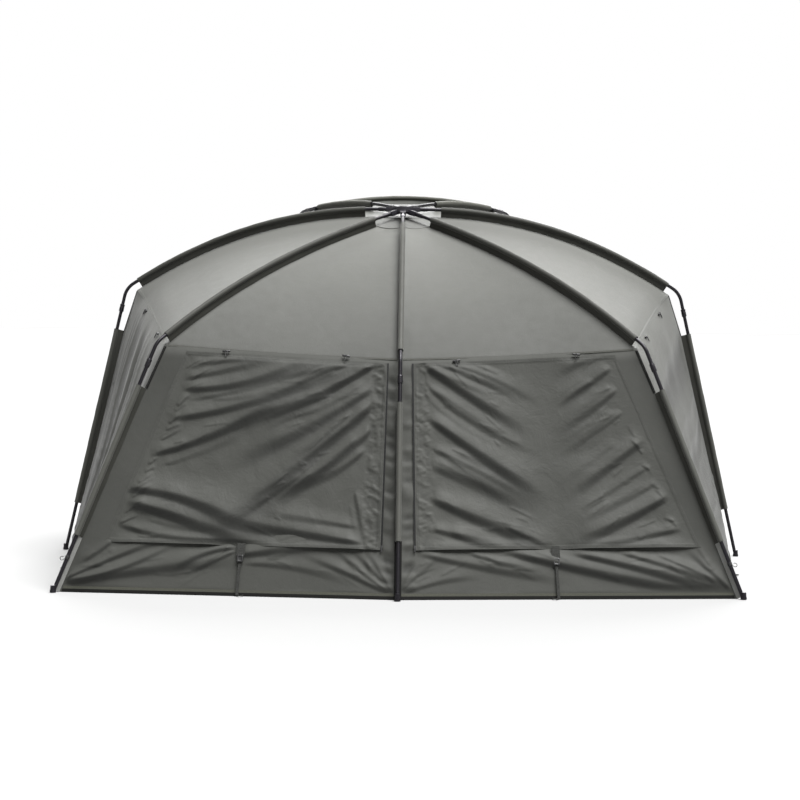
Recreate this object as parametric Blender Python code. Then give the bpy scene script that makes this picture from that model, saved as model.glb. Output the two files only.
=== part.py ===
"""Fishing bivvy: seven bent poles on a hub, a canopy hung under them on sleeves, and a brow pole over the door.

Metres, +Z up. The rear faces -Y, the door faces +Y, and the ground is z = 0.
"""
import math

import bmesh
import bpy
from mathutils import Vector

# The gap kept between pieces that touch.
GAP = 0.0003

# The hub stands this far behind (-) or before (+) the middle of the footprint.
HUB_Y = 0.045
HUB_HEIGHT = 1.645
HUB_RADIUS = 0.046
HUB_THICKNESS = 0.026
HUB_CAP_HEIGHT = 0.005
HUB_CAP_RADIUS = 0.023
SOCKET_LENGTH = 0.034
SOCKET_WIDTH = 0.026
SOCKET_DEPTH = 0.024
SOCKET_GAP = 0.0008

POLE_RADIUS = 0.008
BEND_RADIUS = 0.10
COLLAR_BELOW_BEND = 0.08
COLLAR_LENGTH = 0.036
COLLAR_RADIUS = 0.0112
FOOT_RADIUS = 0.017
FOOT_HEIGHT = 0.012
FOOT_LAP = 0.0096

# The canopy hangs this far inside the pole's centre line, and less at the foot.
CANOPY_DROP = 0.036
CORNER_DROP = 0.027
CANOPY_THICKNESS = 0.005
CROWN_RADIUS = 0.14
CROWN_DIP = 0.004
CHAMFER_BELOW_BEND = 0.20

SLEEVE_RADIUS = 0.0118
SLEEVE_BORE = 0.0091
WEB_HALF_WIDTH = 0.002
WEB_FOOT_HALF_WIDTH = 0.0012
WEB_GAP = 0.0007
BORE_SPLIT_HALF_WIDTH = 0.0006
SLEEVE_END_SHARE = 0.98
LEG_SLEEVE_BELOW_CHAMFER = 0.01
SLEEVE_ABOVE_GROUND = 0.23

BROW_RISE = 0.075
BROW_REACH = 0.19
BROW_LEAN = 0.35
BROW_STEPS = 16
FITTING_RADIUS = 0.0105
FITTING_LAP = 0.7

DOOR_SHARE = 0.15
DOOR_TOP = 1.44
ROLL_RADIUS = 0.04
ROLL_LAP = 0.012

# Across a wall, shares run from one rib (0) to the other (1). Down it, a station is (line index, share).
WINDOW_SIDES = (0.26, 0.74)
WINDOW_STATIONS = (0.06, 0.30, 0.54)
HOLE_MARGIN = 0.0007
CUTTER_REACH = 0.03
PANE_DEPTH = 0.0018
PANE_THICKNESS = 0.0015
COVER_SHARES = [0.055, 0.26, 0.5, 0.74, 0.90]
COVER_STATIONS = [(0, 0.10), (1, 0.0)] + [(1, share) for share in WINDOW_STATIONS] + [(1, 0.755)]
COVER_GAP = 0.0006
COVER_THICKNESS = 0.004

STRAP_WIDTH = 0.022
STRAP_THICKNESS = 0.003
STRAP_SHARE = 0.47
STRAP_BELOW_COVER = 0.004

SLEEVE_STATIONS = 7
ROOF_STATIONS = SLEEVE_STATIONS + 2


class Rib:
    """One pole, in the upright plane through the hub's axis that it stands in."""

    def __init__(self, name, foot, bend_radius_out, bend_height, hub_slope, bend_slope,
                 sleeve_start, sleeve_end=None):
        self.name = name
        self.foot_out = math.hypot(foot[0], foot[1])
        self.out = Vector((foot[0], foot[1], 0.0)) / self.foot_out
        self.side = Vector((-self.out.y, self.out.x, 0.0))
        self.apex = Vector((bend_radius_out, bend_height))
        self.sleeve_start = sleeve_start
        self.sleeve_end = sleeve_end
        self.hub_slope = hub_slope
        leg = Vector((self.foot_out, 0.0)) - self.apex
        self.leg_length = leg.length
        self.down = leg.normalized()
        roof = Vector((1.0, bend_slope)).normalized()
        turn = roof.angle(self.down)
        tangent_length = BEND_RADIUS * math.tan(turn / 2)
        self.bend_start = self.apex - roof * tangent_length
        self.bend_end = self.apex + self.down * tangent_length
        self.roof_end_direction = roof
        self.turn = turn

    def place(self, flat, across=0.0):
        """The world point of a point (distance out, height) in the rib's plane."""
        return Vector((0.0, HUB_Y, 0.0)) + self.out * flat[0] + Vector((0.0, 0.0, flat[1])) + self.side * across

    def roof_point(self, share):
        """A point of the roof pole's centre line, from the hub (0) to the bend (1)."""
        start = Vector((HUB_RADIUS + SOCKET_LENGTH, HUB_HEIGHT + self.hub_slope * (HUB_RADIUS + SOCKET_LENGTH)))
        reach = (self.bend_start.x - start.x) / 3
        first = start + Vector((reach, reach * self.hub_slope))
        second = self.bend_start - self.roof_end_direction * (reach / self.roof_end_direction.x)
        left = 1 - share
        return (start * left ** 3 + first * (3 * left * left * share)
                + second * (3 * left * share * share) + self.bend_start * share ** 3)

    def roof_direction(self, share):
        step = 0.001
        ahead = self.roof_point(min(1.0, share + step))
        behind = self.roof_point(max(0.0, share - step))
        return (ahead - behind).normalized()

    def share_at(self, distance_out):
        """The share of the roof pole where it is this far out from the hub's axis."""
        low = 0.0
        high = 1.0
        for _ in range(30):
            middle = (low + high) / 2
            if self.roof_point(middle).x < distance_out:
                low = middle
            else:
                high = middle
        return (low + high) / 2

    def sleeve_shares(self):
        """The shares of the roof pole where its sleeve is measured, from its start to the bend."""
        first = self.share_at(self.sleeve_start)
        last = self.share_at(self.sleeve_end) if self.sleeve_end else SLEEVE_END_SHARE
        return [first + (last - first) * index / SLEEVE_STATIONS for index in range(SLEEVE_STATIONS + 1)]

    def bend_points(self, count):
        """Points on the round bend, between the roof pole and the leg."""
        inward = outward(self.roof_end_direction) * -1
        centre = self.bend_start + inward * BEND_RADIUS
        start_angle = math.atan2(-inward.y, -inward.x)
        points = []
        for index in range(1, count + 1):
            angle = start_angle - self.turn * index / count
            points.append(centre + Vector((math.cos(angle), math.sin(angle))) * BEND_RADIUS)
        return points

    def leg_point(self, length):
        """A point of the leg's centre line, this far down it from the bend's corner."""
        return self.apex + self.down * length

    def roof_canopy(self, drop):
        """The canopy's line under the roof pole, from the crown patch to the shoulder seam."""
        points = []
        for share in [self.share_at(CROWN_RADIUS)] + self.sleeve_shares() + [1.0]:
            points.append(self.roof_point(share) - outward(self.roof_direction(share)) * drop)
        return points

    def wall_canopy(self, extra):
        """The canopy's line from the shoulder seam down to the ground, extra metres further in."""
        lean = outward(self.down)
        seam = self.roof_canopy(CANOPY_DROP)[-1]
        chamfer_end = self.leg_point(CHAMFER_BELOW_BEND) - lean * CANOPY_DROP
        ground = Vector((self.foot_out - CORNER_DROP / lean.x, 0.0))
        if extra == 0:
            return [seam, chamfer_end, ground]
        chamfer = outward((chamfer_end - seam).normalized())
        wall = outward((ground - chamfer_end).normalized())
        roof = outward(self.roof_end_direction)
        return [seam - mitre(roof, chamfer) * extra,
                chamfer_end - mitre(chamfer, wall) * extra,
                ground - Vector((extra / wall.x, 0.0))]

    def roof_lining(self):
        """The inner face's line of the canopy under the roof pole."""
        points = self.roof_canopy(CANOPY_DROP + CANOPY_THICKNESS)
        points[-1] = self.wall_canopy(CANOPY_THICKNESS)[0]
        return points


def outward(direction):
    """The direction square to a line in a rib's plane, up and away from the tent's inside."""
    return Vector((-direction.y, direction.x)) if direction.x > abs(direction.y) * 0.001 else Vector((1.0, 0.0))


def mitre(first, second):
    """The vector that moves a corner in by one unit on both of the faces that meet there."""
    middle = (first + second).normalized()
    return middle / middle.dot(first)


def slide(start, end, distance):
    """A point moved a short distance from start towards end."""
    return start + (end - start).normalized() * distance


RIB_SIZES = {
    "rear_middle": ((0.0, -1.268), 0.870, 0.976, -0.35, -0.95, 0.19),
    "rear_left": ((-1.427, -1.135), 1.331, 1.031, -0.30, -0.72, 0.17),
    "side_left": ((-1.620, 0.159), 1.329, 1.266, 0.02, -0.64, 0.18),
    "front_left": ((-0.688, 1.173), 1.100, 1.667, 0.16, -0.12, 0.30, 0.86),
    "front_right": ((0.688, 1.173), 1.100, 1.667, 0.16, -0.12, 0.30, 0.86),
    "side_right": ((1.620, 0.159), 1.329, 1.266, 0.02, -0.64, 0.18),
    "rear_right": ((1.427, -1.135), 1.331, 1.031, -0.30, -0.72, 0.17),
}

# Each panel of the canopy lies between two ribs, named in this order.
PANELS = (
    ("rear_left", "rear_middle", "rear_left"),
    ("side_left", "rear_left", "side_left"),
    ("front_left", "side_left", "front_left"),
    ("front", "front_left", "front_right"),
    ("front_right", "front_right", "side_right"),
    ("side_right", "side_right", "rear_right"),
    ("rear_right", "rear_right", "rear_middle"),
)


def clear_scene():
    for item in list(bpy.data.objects):
        bpy.data.objects.remove(item, do_unlink=True)


def make_material(name, colour, roughness, metallic=0.0):
    material = bpy.data.materials.new(name)
    material.use_nodes = True
    shader = material.node_tree.nodes["Principled BSDF"]
    shader.inputs["Base Color"].default_value = (*colour, 1.0)
    shader.inputs["Roughness"].default_value = roughness
    shader.inputs["Metallic"].default_value = metallic
    return material


def add_object(name, mesh, material):
    """A named object of a mesh, with its own copy of the material."""
    own = material.copy()
    own.name = name + "_finish"
    mesh.materials.clear()
    mesh.materials.append(own)
    item = bpy.data.objects.new(name, mesh)
    bpy.context.scene.collection.objects.link(item)
    return item


def mesh_from(name, bm):
    bmesh.ops.recalc_face_normals(bm, faces=bm.faces)
    mesh = bpy.data.meshes.new(name)
    bm.to_mesh(mesh)
    bm.free()
    return mesh


def add_ring(bm, points):
    return [bm.verts.new(point) for point in points]


def bridge(bm, first, second):
    """Triangles between two rings of as many corners. The halves of a ring lean opposite ways, so that
    the two faces of a thin sheet are split along the same line."""
    count = len(first)
    for index in range(count):
        following = (index + 1) % count
        if index < count // 2:
            bm.faces.new((first[index], first[following], second[following]))
            bm.faces.new((first[index], second[following], second[index]))
        else:
            bm.faces.new((first[index], first[following], second[index]))
            bm.faces.new((first[following], second[following], second[index]))


def loft(name, rings):
    """A closed solid through rings of points, capped at both ends."""
    bm = bmesh.new()
    rows = [add_ring(bm, ring) for ring in rings]
    for first, second in zip(rows, rows[1:]):
        bridge(bm, first, second)
    for end in (rows[0], rows[-1]):
        half = len(end) // 2
        for index in range(half - 1):
            bm.faces.new((end[index], end[index + 1], end[-2 - index], end[-1 - index]))
    return mesh_from(name, bm)


def tube_loft(name, outer_rings, inner_rings):
    """A closed solid with a bore from end to end: outer rings, inner rings, and a rim at each end."""
    bm = bmesh.new()
    outer = [add_ring(bm, ring) for ring in outer_rings]
    inner = [add_ring(bm, ring) for ring in inner_rings]
    for rows in (outer, inner):
        for first, second in zip(rows, rows[1:]):
            bridge(bm, first, second)
    bridge(bm, outer[0], inner[0])
    bridge(bm, outer[-1], inner[-1])
    return mesh_from(name, bm)


def tube_mesh(name, points, radius, roundness=2):
    """A round bar along points: a curve with a bevel and filled caps, made a mesh."""
    curve = bpy.data.curves.new(name, "CURVE")
    curve.dimensions = "3D"
    curve.bevel_depth = radius
    curve.bevel_resolution = roundness
    curve.use_fill_caps = True
    spline = curve.splines.new("POLY")
    spline.points.add(len(points) - 1)
    for target, point in zip(spline.points, points):
        target.co = (*point, 1.0)
    holder = bpy.data.objects.new(name, curve)
    bpy.context.scene.collection.objects.link(holder)
    depsgraph = bpy.context.evaluated_depsgraph_get()
    mesh = bpy.data.meshes.new_from_object(holder.evaluated_get(depsgraph))
    bpy.data.objects.remove(holder, do_unlink=True)
    weld = bmesh.new()
    weld.from_mesh(mesh)
    bmesh.ops.remove_doubles(weld, verts=weld.verts, dist=0.00001)
    bmesh.ops.recalc_face_normals(weld, faces=weld.faces)
    weld.to_mesh(mesh)
    weld.free()
    return mesh


def cylinder_mesh(name, start, end, radius, sides=12):
    """A closed cylinder between two points."""
    start = Vector(start)
    end = Vector(end)
    axis = end - start
    bm = bmesh.new()
    bmesh.ops.create_cone(bm, cap_ends=True, segments=sides, radius1=radius, radius2=radius, depth=axis.length)
    turn = Vector((0.0, 0.0, 1.0)).rotation_difference(axis.normalized()).to_matrix().to_4x4()
    turn.translation = (start + end) / 2
    bmesh.ops.transform(bm, matrix=turn, verts=bm.verts)
    return mesh_from(name, bm)


def unite(name, meshes, material):
    """One object: the first mesh with each of the others joined to it by a Boolean union."""
    base = add_object(name, meshes[0], material)
    for index, extra in enumerate(meshes[1:]):
        other = bpy.data.objects.new(f"{name}_joined_{index}", extra)
        bpy.context.scene.collection.objects.link(other)
        other.hide_render = True
        other.display_type = "WIRE"
        union = base.modifiers.new(f"join_{index}", "BOOLEAN")
        union.operation = "UNION"
        union.solver = "EXACT"
        union.object = other
    return base


def cut(target, cutter_mesh):
    cutter = bpy.data.objects.new(target.name + "_cutter", cutter_mesh)
    bpy.context.scene.collection.objects.link(cutter)
    cutter.hide_render = True
    cutter.display_type = "WIRE"
    difference = target.modifiers.new("opening", "BOOLEAN")
    difference.operation = "DIFFERENCE"
    difference.solver = "MANIFOLD"
    difference.object = cutter


def between(first, second, share):
    return first + (second - first) * share


def make_hub(ribs, material):
    """The round block that the poles plug into, with one socket for each pole and a low cap."""
    middle = Vector((0.0, HUB_Y, HUB_HEIGHT))
    half = Vector((0.0, 0.0, HUB_THICKNESS / 2))
    block = cylinder_mesh("hub_block", middle - half, middle + half, HUB_RADIUS, 28)
    cap_top = middle + half + Vector((0.0, 0.0, HUB_CAP_HEIGHT))
    cap = cylinder_mesh("hub_cap", middle, cap_top, HUB_CAP_RADIUS, 16)
    sockets = []
    for rib in ribs:
        start = rib.place((HUB_CAP_RADIUS, HUB_HEIGHT + rib.hub_slope * HUB_CAP_RADIUS))
        end = rib.place(rib.roof_point(0.0) - rib.roof_direction(0.0) * SOCKET_GAP)
        sockets.append(bar_mesh(rib.name + "_socket", start, end, rib.side, SOCKET_WIDTH, SOCKET_DEPTH))
    return unite("hub", [block, cap] + sockets, material)


def bar_mesh(name, start, end, side, width, depth):
    """A straight bar of rectangular section between two points."""
    along = (end - start).normalized()
    up = along.cross(side).normalized()
    rings = []
    for point in (start, end):
        rings.append([point + side * (width / 2) + up * (depth / 2), point - side * (width / 2) + up * (depth / 2),
                      point - side * (width / 2) - up * (depth / 2), point + side * (width / 2) - up * (depth / 2)])
    return loft(name, rings)


def make_roof_pole(rib, material):
    """From the hub's socket over the roof and round the bend, to the collar on top of the leg."""
    flat = [rib.roof_point(share) for share in [0.0] + rib.sleeve_shares() + [1.0]]
    flat += rib.bend_points(4)
    flat.append(rib.leg_point(COLLAR_BELOW_BEND) - rib.down * GAP)
    points = [rib.place(point) for point in flat]
    return add_object(rib.name + "_roof_pole", tube_mesh(rib.name + "_roof_pole", points, POLE_RADIUS), material)


def make_leg(rib, material):
    """The straight lower pole: a collar at its head and a flat round foot on the ground."""
    head = rib.place(rib.leg_point(COLLAR_BELOW_BEND))
    collar_end = rib.place(rib.leg_point(COLLAR_BELOW_BEND + COLLAR_LENGTH))
    foot = rib.place((rib.foot_out, 0.0))
    shank_end = rib.place(rib.leg_point(rib.leg_length - FOOT_LAP))
    tube = tube_mesh(rib.name + "_shank", [head, between(head, shank_end, 0.5), shank_end], POLE_RADIUS)
    collar = cylinder_mesh(rib.name + "_collar", head, collar_end, COLLAR_RADIUS)
    pad = cylinder_mesh(rib.name + "_foot", foot, foot + Vector((0.0, 0.0, FOOT_HEIGHT)), FOOT_RADIUS, 16)
    return unite(rib.name + "_leg", [collar, tube, pad], material)


def sleeve_outline(drop):
    """The sleeve's section: a round casing for the pole over a thin web down to the canopy."""
    sides = 8
    outer = [Vector((WEB_FOOT_HALF_WIDTH, -drop)), Vector((WEB_HALF_WIDTH, -SLEEVE_RADIUS))]
    inner = [Vector((BORE_SPLIT_HALF_WIDTH, -SLEEVE_BORE)), Vector((WEB_HALF_WIDTH, -SLEEVE_BORE))]
    for index in range(1, sides):
        angle = -math.pi / 2 + math.tau * index / sides
        outer.append(Vector((math.cos(angle), math.sin(angle))) * SLEEVE_RADIUS)
        inner.append(Vector((math.cos(angle), math.sin(angle))) * SLEEVE_BORE)
    outer += [Vector((-WEB_HALF_WIDTH, -SLEEVE_RADIUS)), Vector((-WEB_FOOT_HALF_WIDTH, -drop))]
    inner += [Vector((-WEB_HALF_WIDTH, -SLEEVE_BORE)), Vector((-BORE_SPLIT_HALF_WIDTH, -SLEEVE_BORE))]
    return outer, inner


def make_sleeve(name, frames, material):
    """A sleeve along a line. Each frame is (point, outward direction, sideways direction, web depth)."""
    outer_rings = []
    inner_rings = []
    for point, out, side, drop in frames:
        outer, inner = sleeve_outline(drop)
        outer_rings.append([point + side * corner.x + out * corner.y for corner in outer])
        inner_rings.append([point + side * corner.x + out * corner.y for corner in inner])
    return add_object(name, tube_loft(name, outer_rings, inner_rings), material)


def rib_frame(rib, flat, direction, drop):
    out = outward(direction)
    return rib.place(flat), rib.out * out.x + Vector((0.0, 0.0, out.y)), rib.side, drop


def make_rib_sleeves(rib, material):
    """The sleeve along the roof pole and the one along the leg, with the bend bare between them."""
    web = CANOPY_DROP - WEB_GAP
    frames = []
    for share in rib.sleeve_shares():
        frames.append(rib_frame(rib, rib.roof_point(share), rib.roof_direction(share), web))
    make_sleeve(rib.name + "_roof_sleeve", frames, material)
    top = CHAMFER_BELOW_BEND + LEG_SLEEVE_BELOW_CHAMFER
    bottom = rib.leg_length - SLEEVE_ABOVE_GROUND / abs(rib.down.y)
    frames = []
    for length in (top, bottom):
        share = (length - CHAMFER_BELOW_BEND) / (rib.leg_length - CHAMFER_BELOW_BEND)
        drop = CANOPY_DROP + (CORNER_DROP - CANOPY_DROP) * share - WEB_GAP
        frames.append(rib_frame(rib, rib.leg_point(length), rib.down, drop))
    make_sleeve(rib.name + "_leg_sleeve", frames, material)


def brow_lift(share, weight):
    """How far the brow pole lifts and pushes out the canopy over the door."""
    swell = 4 * share * (1 - share) * weight
    return Vector((0.0, BROW_REACH * swell, BROW_RISE * swell))


def station_weights(count, front):
    """How much of the brow's lift each roof station has, from the crown to the seam."""
    return [(index / (count - 1)) ** 2 if front else 0.0 for index in range(count)]


def panel_ring(left, right, station, across, weight):
    """A ring round one panel's section: along its outer face and back along its inner face.

    left and right are (rib, outer line, inner line), and across is the shares between the two ribs.
    """
    rings = []
    for layer in (1, 2):
        start = left[0].place(left[layer][station], -GAP / 2)
        end = right[0].place(right[layer][station], GAP / 2)
        rings.append([between(start, end, share) + brow_lift(share, weight) for share in across])
    return rings[0] + list(reversed(rings[1]))


def even_shares(start, end, count):
    return [start + (end - start) * index / count for index in range(count + 1)]


def front_shares():
    """The shares across the front where its panels have corners: jamb, head, jamb."""
    left = even_shares(0.0, DOOR_SHARE, 2)
    head = even_shares(DOOR_SHARE, 1 - DOOR_SHARE, 8)
    right = even_shares(1 - DOOR_SHARE, 1.0, 2)
    return left, head, right


def make_roof_panel(name, left, right, material):
    front = name == "front"
    lines = [(rib, rib.roof_canopy(CANOPY_DROP), rib.roof_lining()) for rib in (left, right)]
    for _, outer, inner in lines:
        for line in (outer, inner):
            line[0] = slide(line[0], line[1], GAP)
            line[-1] = slide(line[-1], line[-2], GAP)
    across = even_shares(0.0, 1.0, 2)
    if front:
        jamb, head, other_jamb = front_shares()
        across = jamb + head[1:] + other_jamb[1:]
    weights = station_weights(ROOF_STATIONS + 1, front)
    rings = [panel_ring(lines[0], lines[1], station, across, weights[station])
             for station in range(ROOF_STATIONS + 1)]
    return add_object(name + "_roof_panel", loft(name + "_roof_panel", rings), material)


def wall_lines(rib):
    return rib, rib.wall_canopy(0.0), rib.wall_canopy(CANOPY_THICKNESS)


def at_height(lines, height):
    """The index and share on a wall line where its outer face is at this height."""
    outer = lines[1]
    for index in range(len(outer) - 1):
        if outer[index].y >= height >= outer[index + 1].y:
            return index, (outer[index].y - height) / (outer[index].y - outer[index + 1].y)
    return len(outer) - 2, 1.0


def wall_rings(left, right, shares, stations, out_proud=0.0, in_proud=-CANOPY_THICKNESS, lifted=False):
    """Rings down a wall between two ribs, from one distance proud of its outer face to another.

    Each station is (index on the ribs' lines, share on to the next one). A lifted wall follows the brow.
    """
    rings = []
    for index, part in stations:
        following = min(index + 1, 2)
        fall = 1 - between(left[1][index], left[1][following], part).y / left[1][0].y
        layers = []
        for layer in (1, 2):
            start = left[0].place(between(left[layer][index], left[layer][following], part), -GAP / 2)
            end = right[0].place(between(right[layer][index], right[layer][following], part), GAP / 2)
            weight = 1 - fall if lifted else 0.0
            layers.append([between(start, end, share) + brow_lift(share, weight) for share in shares])
        face = []
        back = []
        for outer, inner in zip(*layers):
            unit = (outer - inner) / CANOPY_THICKNESS
            face.append(outer + unit * out_proud)
            back.append(outer + unit * in_proud)
        rings.append(face + list(reversed(back)))
    return rings


def make_wall_panel(name, left, right, material, rear):
    """A wall from the shoulder seam to the ground. A rear wall has corners where its cover has them."""
    shares = sorted({0.0, 1.0, *cover_shares(left)}) if rear else even_shares(0.0, 1.0, 2)
    stations = [(0, 0.0)] + (COVER_STATIONS if rear else [(1, 0.0)]) + [(2, 0.0)]
    rings = wall_rings(wall_lines(left), wall_lines(right), shares, stations)
    return add_object(name + "_wall", loft(name + "_wall", rings), material)


def cover_shares(left):
    """The storm cover's corners across a rear wall, counted from the wall's left rib."""
    if left.name == "rear_middle":
        return COVER_SHARES
    return [1 - share for share in reversed(COVER_SHARES)]


def make_window(name, left, right, wall, mesh_material, cover_material):
    """The opening in a rear wall, its mesh pane, and the storm cover toggled over it outside."""
    lines = [wall_lines(left), wall_lines(right)]
    middle = even_shares(*WINDOW_SIDES, 2)
    hole = [WINDOW_SIDES[0] - HOLE_MARGIN, middle[1], WINDOW_SIDES[1] + HOLE_MARGIN]
    top, centre, bottom = WINDOW_STATIONS
    rows = [(1, top - HOLE_MARGIN), (1, centre), (1, bottom + HOLE_MARGIN)]
    opening = loft(name + "_opening", wall_rings(*lines, hole, rows, CUTTER_REACH, -CUTTER_REACH))
    cut(wall, opening)
    rows = [(1, share) for share in WINDOW_STATIONS]
    pane = wall_rings(*lines, middle, rows, -PANE_DEPTH, -PANE_DEPTH - PANE_THICKNESS)
    add_object(name + "_window_mesh", loft(name + "_window_mesh", pane), mesh_material)
    cover = wall_rings(*lines, cover_shares(left), COVER_STATIONS, COVER_GAP + COVER_THICKNESS, COVER_GAP)
    add_object(name + "_window_cover", loft(name + "_window_cover", cover), cover_material)


def make_front_wall(left, right, material):
    """The wall beside and over the doorway, as three pieces: two jambs and the head."""
    lines = [wall_lines(left), wall_lines(right)]
    door_station = at_height(lines[0], DOOR_TOP)
    stations = [(0, 0.0), (1, 0.0), door_station, (2, 0.0)]
    jamb, head, other_jamb = front_shares()
    for name, shares in (("front_wall_left", jamb), ("front_wall_right", other_jamb)):
        add_object(name, loft(name, wall_rings(*lines, shares, stations, lifted=True)), material)
    head[0] += GAP
    head[-1] -= GAP
    rings = wall_rings(*lines, head, stations[:3], lifted=True)
    add_object("front_wall_head", loft("front_wall_head", rings), material)


def brow_line(left, right):
    """The frames of the brow pole's centre line over the front wall's top edge."""
    start = left.place(left.roof_canopy(CANOPY_DROP)[-1])
    end = right.place(right.roof_canopy(CANOPY_DROP)[-1])
    shares = even_shares(0.0, 1.0, BROW_STEPS)
    edge = [between(start, end, share) + brow_lift(share, 1.0) for share in shares]
    frames = []
    for index in range(1, BROW_STEPS):
        along = (edge[index + 1] - edge[index - 1]).normalized()
        out = Vector((0.0, BROW_LEAN, 1.0))
        out = (out - along * out.dot(along)).normalized()
        frames.append((edge[index] + out * CANOPY_DROP, out, along.cross(out) * -1, CANOPY_DROP - WEB_GAP))
    return frames


def make_brow(left, right, pole_material, sleeve_material):
    """The low arched pole over the front door, with a fitting at each end, and its sleeve."""
    frames = brow_line(left, right)
    points = [frame[0] for frame in frames]
    pole = tube_mesh("brow_pole", points, POLE_RADIUS)
    parts = [pole]
    for rib, end, beside in ((left, points[0], points[1]), (right, points[-1], points[-2])):
        root = rib.place(rib.roof_point(1.0))
        reach = (end - root).length - POLE_RADIUS - GAP * 2
        lap = between(end, beside, FITTING_LAP)
        parts.append(cylinder_mesh(rib.name + "_fitting", lap, slide(end, root, reach), FITTING_RADIUS))
    unite("brow_pole", parts, pole_material)
    make_sleeve("brow_sleeve", frames[1:-1], sleeve_material)


def make_crown(ribs, material):
    """The patch that closes the canopy under the hub, a low point in the middle of the seven panels."""
    bm = bmesh.new()
    apex_height = HUB_HEIGHT - CANOPY_DROP - CROWN_DIP
    rings = []
    for drop, height in ((CANOPY_DROP, apex_height), (CANOPY_DROP + CANOPY_THICKNESS, apex_height - CANOPY_THICKNESS)):
        apex = bm.verts.new((0.0, HUB_Y, height))
        rim = []
        for rib in ribs:
            share = rib.share_at(CROWN_RADIUS)
            flat = rib.roof_point(share) - outward(rib.roof_direction(share)) * drop
            rim.append(bm.verts.new(rib.place(flat)))
        for index in range(len(rim)):
            bm.faces.new((apex, rim[index], rim[(index + 1) % len(rim)]))
        rings.append(rim)
    count = len(ribs)
    for index in range(count):
        following = (index + 1) % count
        bm.faces.new((rings[0][index], rings[0][following], rings[1][following], rings[1][index]))
    return add_object("crown_patch", mesh_from("crown_patch", bm), material)


def make_door_roll(left, right, material):
    """The front door, rolled up and tied along the foot of the head, outside it."""
    lines = [wall_lines(left), wall_lines(right)]
    shares = front_shares()[1][1:-1]
    upper, lower = wall_rings(*lines, shares, [(1, 0.0), at_height(lines[0], DOOR_TOP)], lifted=True)
    points = []
    for index in range(len(shares)):
        before = lower[max(index - 1, 0)]
        after = lower[min(index + 1, len(shares) - 1)]
        down = (lower[index] - upper[index]).normalized()
        out = (after - before).cross(down).normalized()
        if out.y < 0:
            out.negate()
        points.append(lower[index] - down * ROLL_LAP + out * (ROLL_RADIUS + GAP))
    roll = tube_mesh("rolled_front_door", points, ROLL_RADIUS, 6)
    return add_object("rolled_front_door", roll, material)


def make_strap(name, left, right, share, material):
    """The pull-down strap at the foot of a rear wall, from the cover's bottom edge to the ground."""
    lines = [wall_lines(left), wall_lines(right)]
    width = (lines[0][0].place(lines[0][1][2]) - lines[1][0].place(lines[1][1][2])).length
    half = STRAP_WIDTH / 2 / width
    stations = [(1, COVER_STATIONS[-1][1] + STRAP_BELOW_COVER), (2, 0.0)]
    rings = wall_rings(*lines, [share - half, share, share + half], stations,
                       COVER_GAP + STRAP_THICKNESS, COVER_GAP)
    for ring in rings:
        level = ring[0].z
        for point in ring:
            point.z = level
    return add_object(name, loft(name, rings), material)


def main():
    clear_scene()
    pole = make_material("pole", (0.045, 0.042, 0.050), 0.38, 0.6)
    hub = make_material("hub_plastic", (0.025, 0.024, 0.028), 0.5)
    roof = make_material("roof_fabric", (0.29, 0.295, 0.27), 0.8)
    wall = make_material("wall_fabric", (0.12, 0.122, 0.11), 0.82)
    cover = make_material("cover_fabric", (0.11, 0.112, 0.10), 0.82)
    sleeve = make_material("sleeve_fabric", (0.03, 0.031, 0.025), 0.8)
    patch = make_material("crown_fabric", (0.40, 0.405, 0.38), 0.75)
    mesh = make_material("window_mesh", (0.02, 0.02, 0.02), 0.9)
    webbing = make_material("webbing", (0.02, 0.02, 0.02), 0.85)

    ribs = {name: Rib(name, *sizes) for name, sizes in RIB_SIZES.items()}
    make_hub(ribs.values(), hub)
    make_crown(list(ribs.values()), patch)
    for rib in ribs.values():
        make_roof_pole(rib, pole)
        make_leg(rib, pole)
        make_rib_sleeves(rib, sleeve)
    for name, left, right in PANELS:
        make_roof_panel(name, ribs[left], ribs[right], roof)
        if name == "front":
            make_front_wall(ribs[left], ribs[right], wall)
            continue
        rear = name in ("rear_left", "rear_right")
        panel = make_wall_panel(name, ribs[left], ribs[right], wall, rear)
        if rear:
            make_window(name, ribs[left], ribs[right], panel, mesh, cover)
    make_brow(ribs["front_left"], ribs["front_right"], pole, sleeve)
    make_door_roll(ribs["front_left"], ribs["front_right"], wall)
    make_strap("rear_left_strap", ribs["rear_middle"], ribs["rear_left"], STRAP_SHARE, webbing)
    make_strap("rear_right_strap", ribs["rear_right"], ribs["rear_middle"], 1 - STRAP_SHARE, webbing)


main()
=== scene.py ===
# %% [markdown]
# # A fishing bivvy in cells
# A bivvy is a low domed shelter. Bent poles plug into a hub on top, the canopy hangs under them on sewn
# sleeves, and its walls run down to the ground between the poles' feet. This lesson dresses a plain solid
# model of one: it keeps every size and place, and makes cloth, sleeves, poles and fittings that look
# real.

# %% Load the frame
import math

import bpy
import numpy as np
from mathutils import Matrix, Vector


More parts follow.
